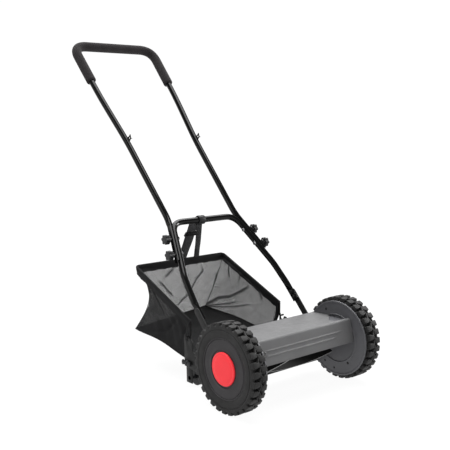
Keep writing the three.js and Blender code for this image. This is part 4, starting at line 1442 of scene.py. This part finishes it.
def strap_leg(start, end, width):
    """A flat leg of webbing from the crossbar's clip to the bag's rim, bowed a little by its weight."""
    steps, thick = 30, 0.8
    section = ((-0.5, -0.55), (-0.47, -1), (0.47, -1), (0.5, -0.55),
               (0.5, 0.55), (0.47, 1), (-0.47, 1), (-0.5, 0.55))
    stations = []
    for n in range(steps + 1):
        t = n / steps
        middle = STRAP_TOP.lerp(STRAP_FOOT, t) + ACROSS * (start + (end - start) * t)
        bow = 1.5 * math.sin(math.pi * t) + 0.25 * math.sin(14 * t)
        curl = 0.6 * math.sin(9 * t + start)
        stations.append([middle + ACROSS * a * width + STRAP_NORMAL * (b * thick + bow + curl * a)
                         for a, b in section])
    return loft(stations)


def straps():
    build = Build()
    for leg in (WIDE_LEG, NARROW_LEG):
        build.add(*strap_leg(*leg), "webbing")
    obj = build.piece("webbing_strap", "strap", ["bag_strap"], crease=50)
    layer = obj.data.uv_layers.new(name="UVMap")
    for loop in obj.data.loops:
        spot = obj.data.vertices[loop.vertex_index].co
        layer.data[loop.index].uv = (spot.x, 1.35 * spot.z)


def strap_slider():
    """A three-bar slider that the wide leg passes through: three bars across and two end cheeks."""
    build = Build()
    run = STRAP_FOOT - STRAP_TOP
    start, end, _ = WIDE_LEG
    share = 0.27
    middle = STRAP_TOP + run * share + ACROSS * (start + (end - start) * share) + STRAP_NORMAL * 1.3
    down = run.normalized()
    for shift in (-5.5, 0.0, 5.5):
        spans = ((shift - 1.3, shift + 1.3), (-18, 18), (-1.6, 2.4))
        build.add(*turned_box(middle, (down, ACROSS, STRAP_NORMAL), spans), "plastic")
    for way in (-1, 1):
        spans = ((-6.8, 6.8), (16.2, 18.4), (-1.7, 2.5))
        build.add(*turned_box(middle, (down, ACROSS * way, STRAP_NORMAL), spans), "plastic")
    build.piece("strap_slider", "strap", bevel=0.5)


# ---- Scene ----
SKY_TOP, FLOOR_WHITE, FLOOR_GLOW, SUN = 0.20, 0.05, 0.95, 6.6
# Each lamp: its name, place in metres, width, height and power.
LAMPS = (("side_softbox", (2.3, -0.9, 1.0), 0.5, 1.4, 46),
         ("front_softbox", (-0.9, -2.4, 1.9), 1.2, 0.6, 2),
         ("left_softbox", (-2.4, 0.3, 1.7), 1.2, 1.2, 9))


def studio_sky():
    """White round the horizon and dimmer overhead, as in a room with a pale cyclorama."""
    world = bpy.data.worlds.new("studio")
    bpy.context.scene.world = world
    world.use_nodes = True
    nodes, links = world.node_tree.nodes, world.node_tree.links
    place = nodes.new("ShaderNodeTexCoord")
    split = nodes.new("ShaderNodeSeparateXYZ")
    links.new(place.outputs["Generated"], split.inputs["Vector"])
    ramp = nodes.new("ShaderNodeValToRGB")
    ramp.color_ramp.elements[0].position = 0.15
    ramp.color_ramp.elements[0].color = tint(1.03)
    ramp.color_ramp.elements[1].position = 0.26
    ramp.color_ramp.elements[1].color = tint(SKY_TOP)
    links.new(split.outputs["Z"], ramp.inputs["Fac"])
    links.new(ramp.outputs["Color"], nodes["Background"].inputs["Color"])
    nodes["Background"].inputs["Strength"].default_value = 1.0


def studio_floor():
    bpy.ops.mesh.primitive_plane_add(size=400, location=(0, 0, 0))
    floor = bpy.context.object
    floor.name = "floor"
    s = Shader("floor_white", gleam=0.0, Roughness=1.0)
    s.bsdf.inputs["Base Color"].default_value = tint(FLOOR_WHITE)
    s.bsdf.inputs["Emission Color"].default_value = (1, 1, 1, 1)
    s.bsdf.inputs["Emission Strength"].default_value = FLOOR_GLOW
    floor.data.materials.append(s.material)


def studio_lights():
    target = Vector(at(0, 60, 260))
    for name, place, width, height, power in LAMPS:
        light = bpy.data.lights.new(name, "AREA")
        light.shape = "RECTANGLE"
        light.energy = power
        light.size = width
        light.size_y = height
        lamp = bpy.data.objects.new(name, light)
        lamp.location = place
        lamp.rotation_euler = (target - Vector(place)).to_track_quat("-Z", "Y").to_euler()
        bpy.context.collection.objects.link(lamp)
    sun = bpy.data.lights.new("overhead", "SUN")
    sun.energy = SUN
    sun.angle = math.radians(70)
    lamp = bpy.data.objects.new("overhead", sun)
    lamp.rotation_euler = (math.radians(-16), math.radians(8), 0)
    bpy.context.collection.objects.link(lamp)


def studio_camera():
    camera = bpy.data.cameras.new("camera")
    camera.lens = 61.27
    camera.sensor_width = 36
    eye = bpy.data.objects.new("camera", camera)
    eye.location = at(-1222.6, -1214.8, 645.5)
    eye.rotation_euler = (math.radians(81.745), 0, math.radians(-40.154))
    bpy.context.collection.objects.link(eye)
    bpy.context.scene.camera = eye
    bpy.context.scene.view_settings.view_transform = "Standard"


studio_sky()
studio_floor()
studio_lights()
studio_camera()
for side_name, side_way in SIDES:
    tyre(side_name, side_way)
    rim(side_name, side_way)
    hub_cap(side_name, side_way)
    side_plate(side_name, side_way)
    rear_end(side_name, side_way)
    lower_bar(side_name, side_way)
    hook_tab(side_name, side_way)
reel_cover()
cover_screw()
knife()
reel_blades()
reel_spiders()
reel_drive()
roller()
middle_loop()
upper_handle()
grip()
knobs_and_bolts()
chassis_fasteners()
strap_clip()
bag_walls()
bag_floor()
bag_hem()
bag_wire()
straps()
strap_slider()
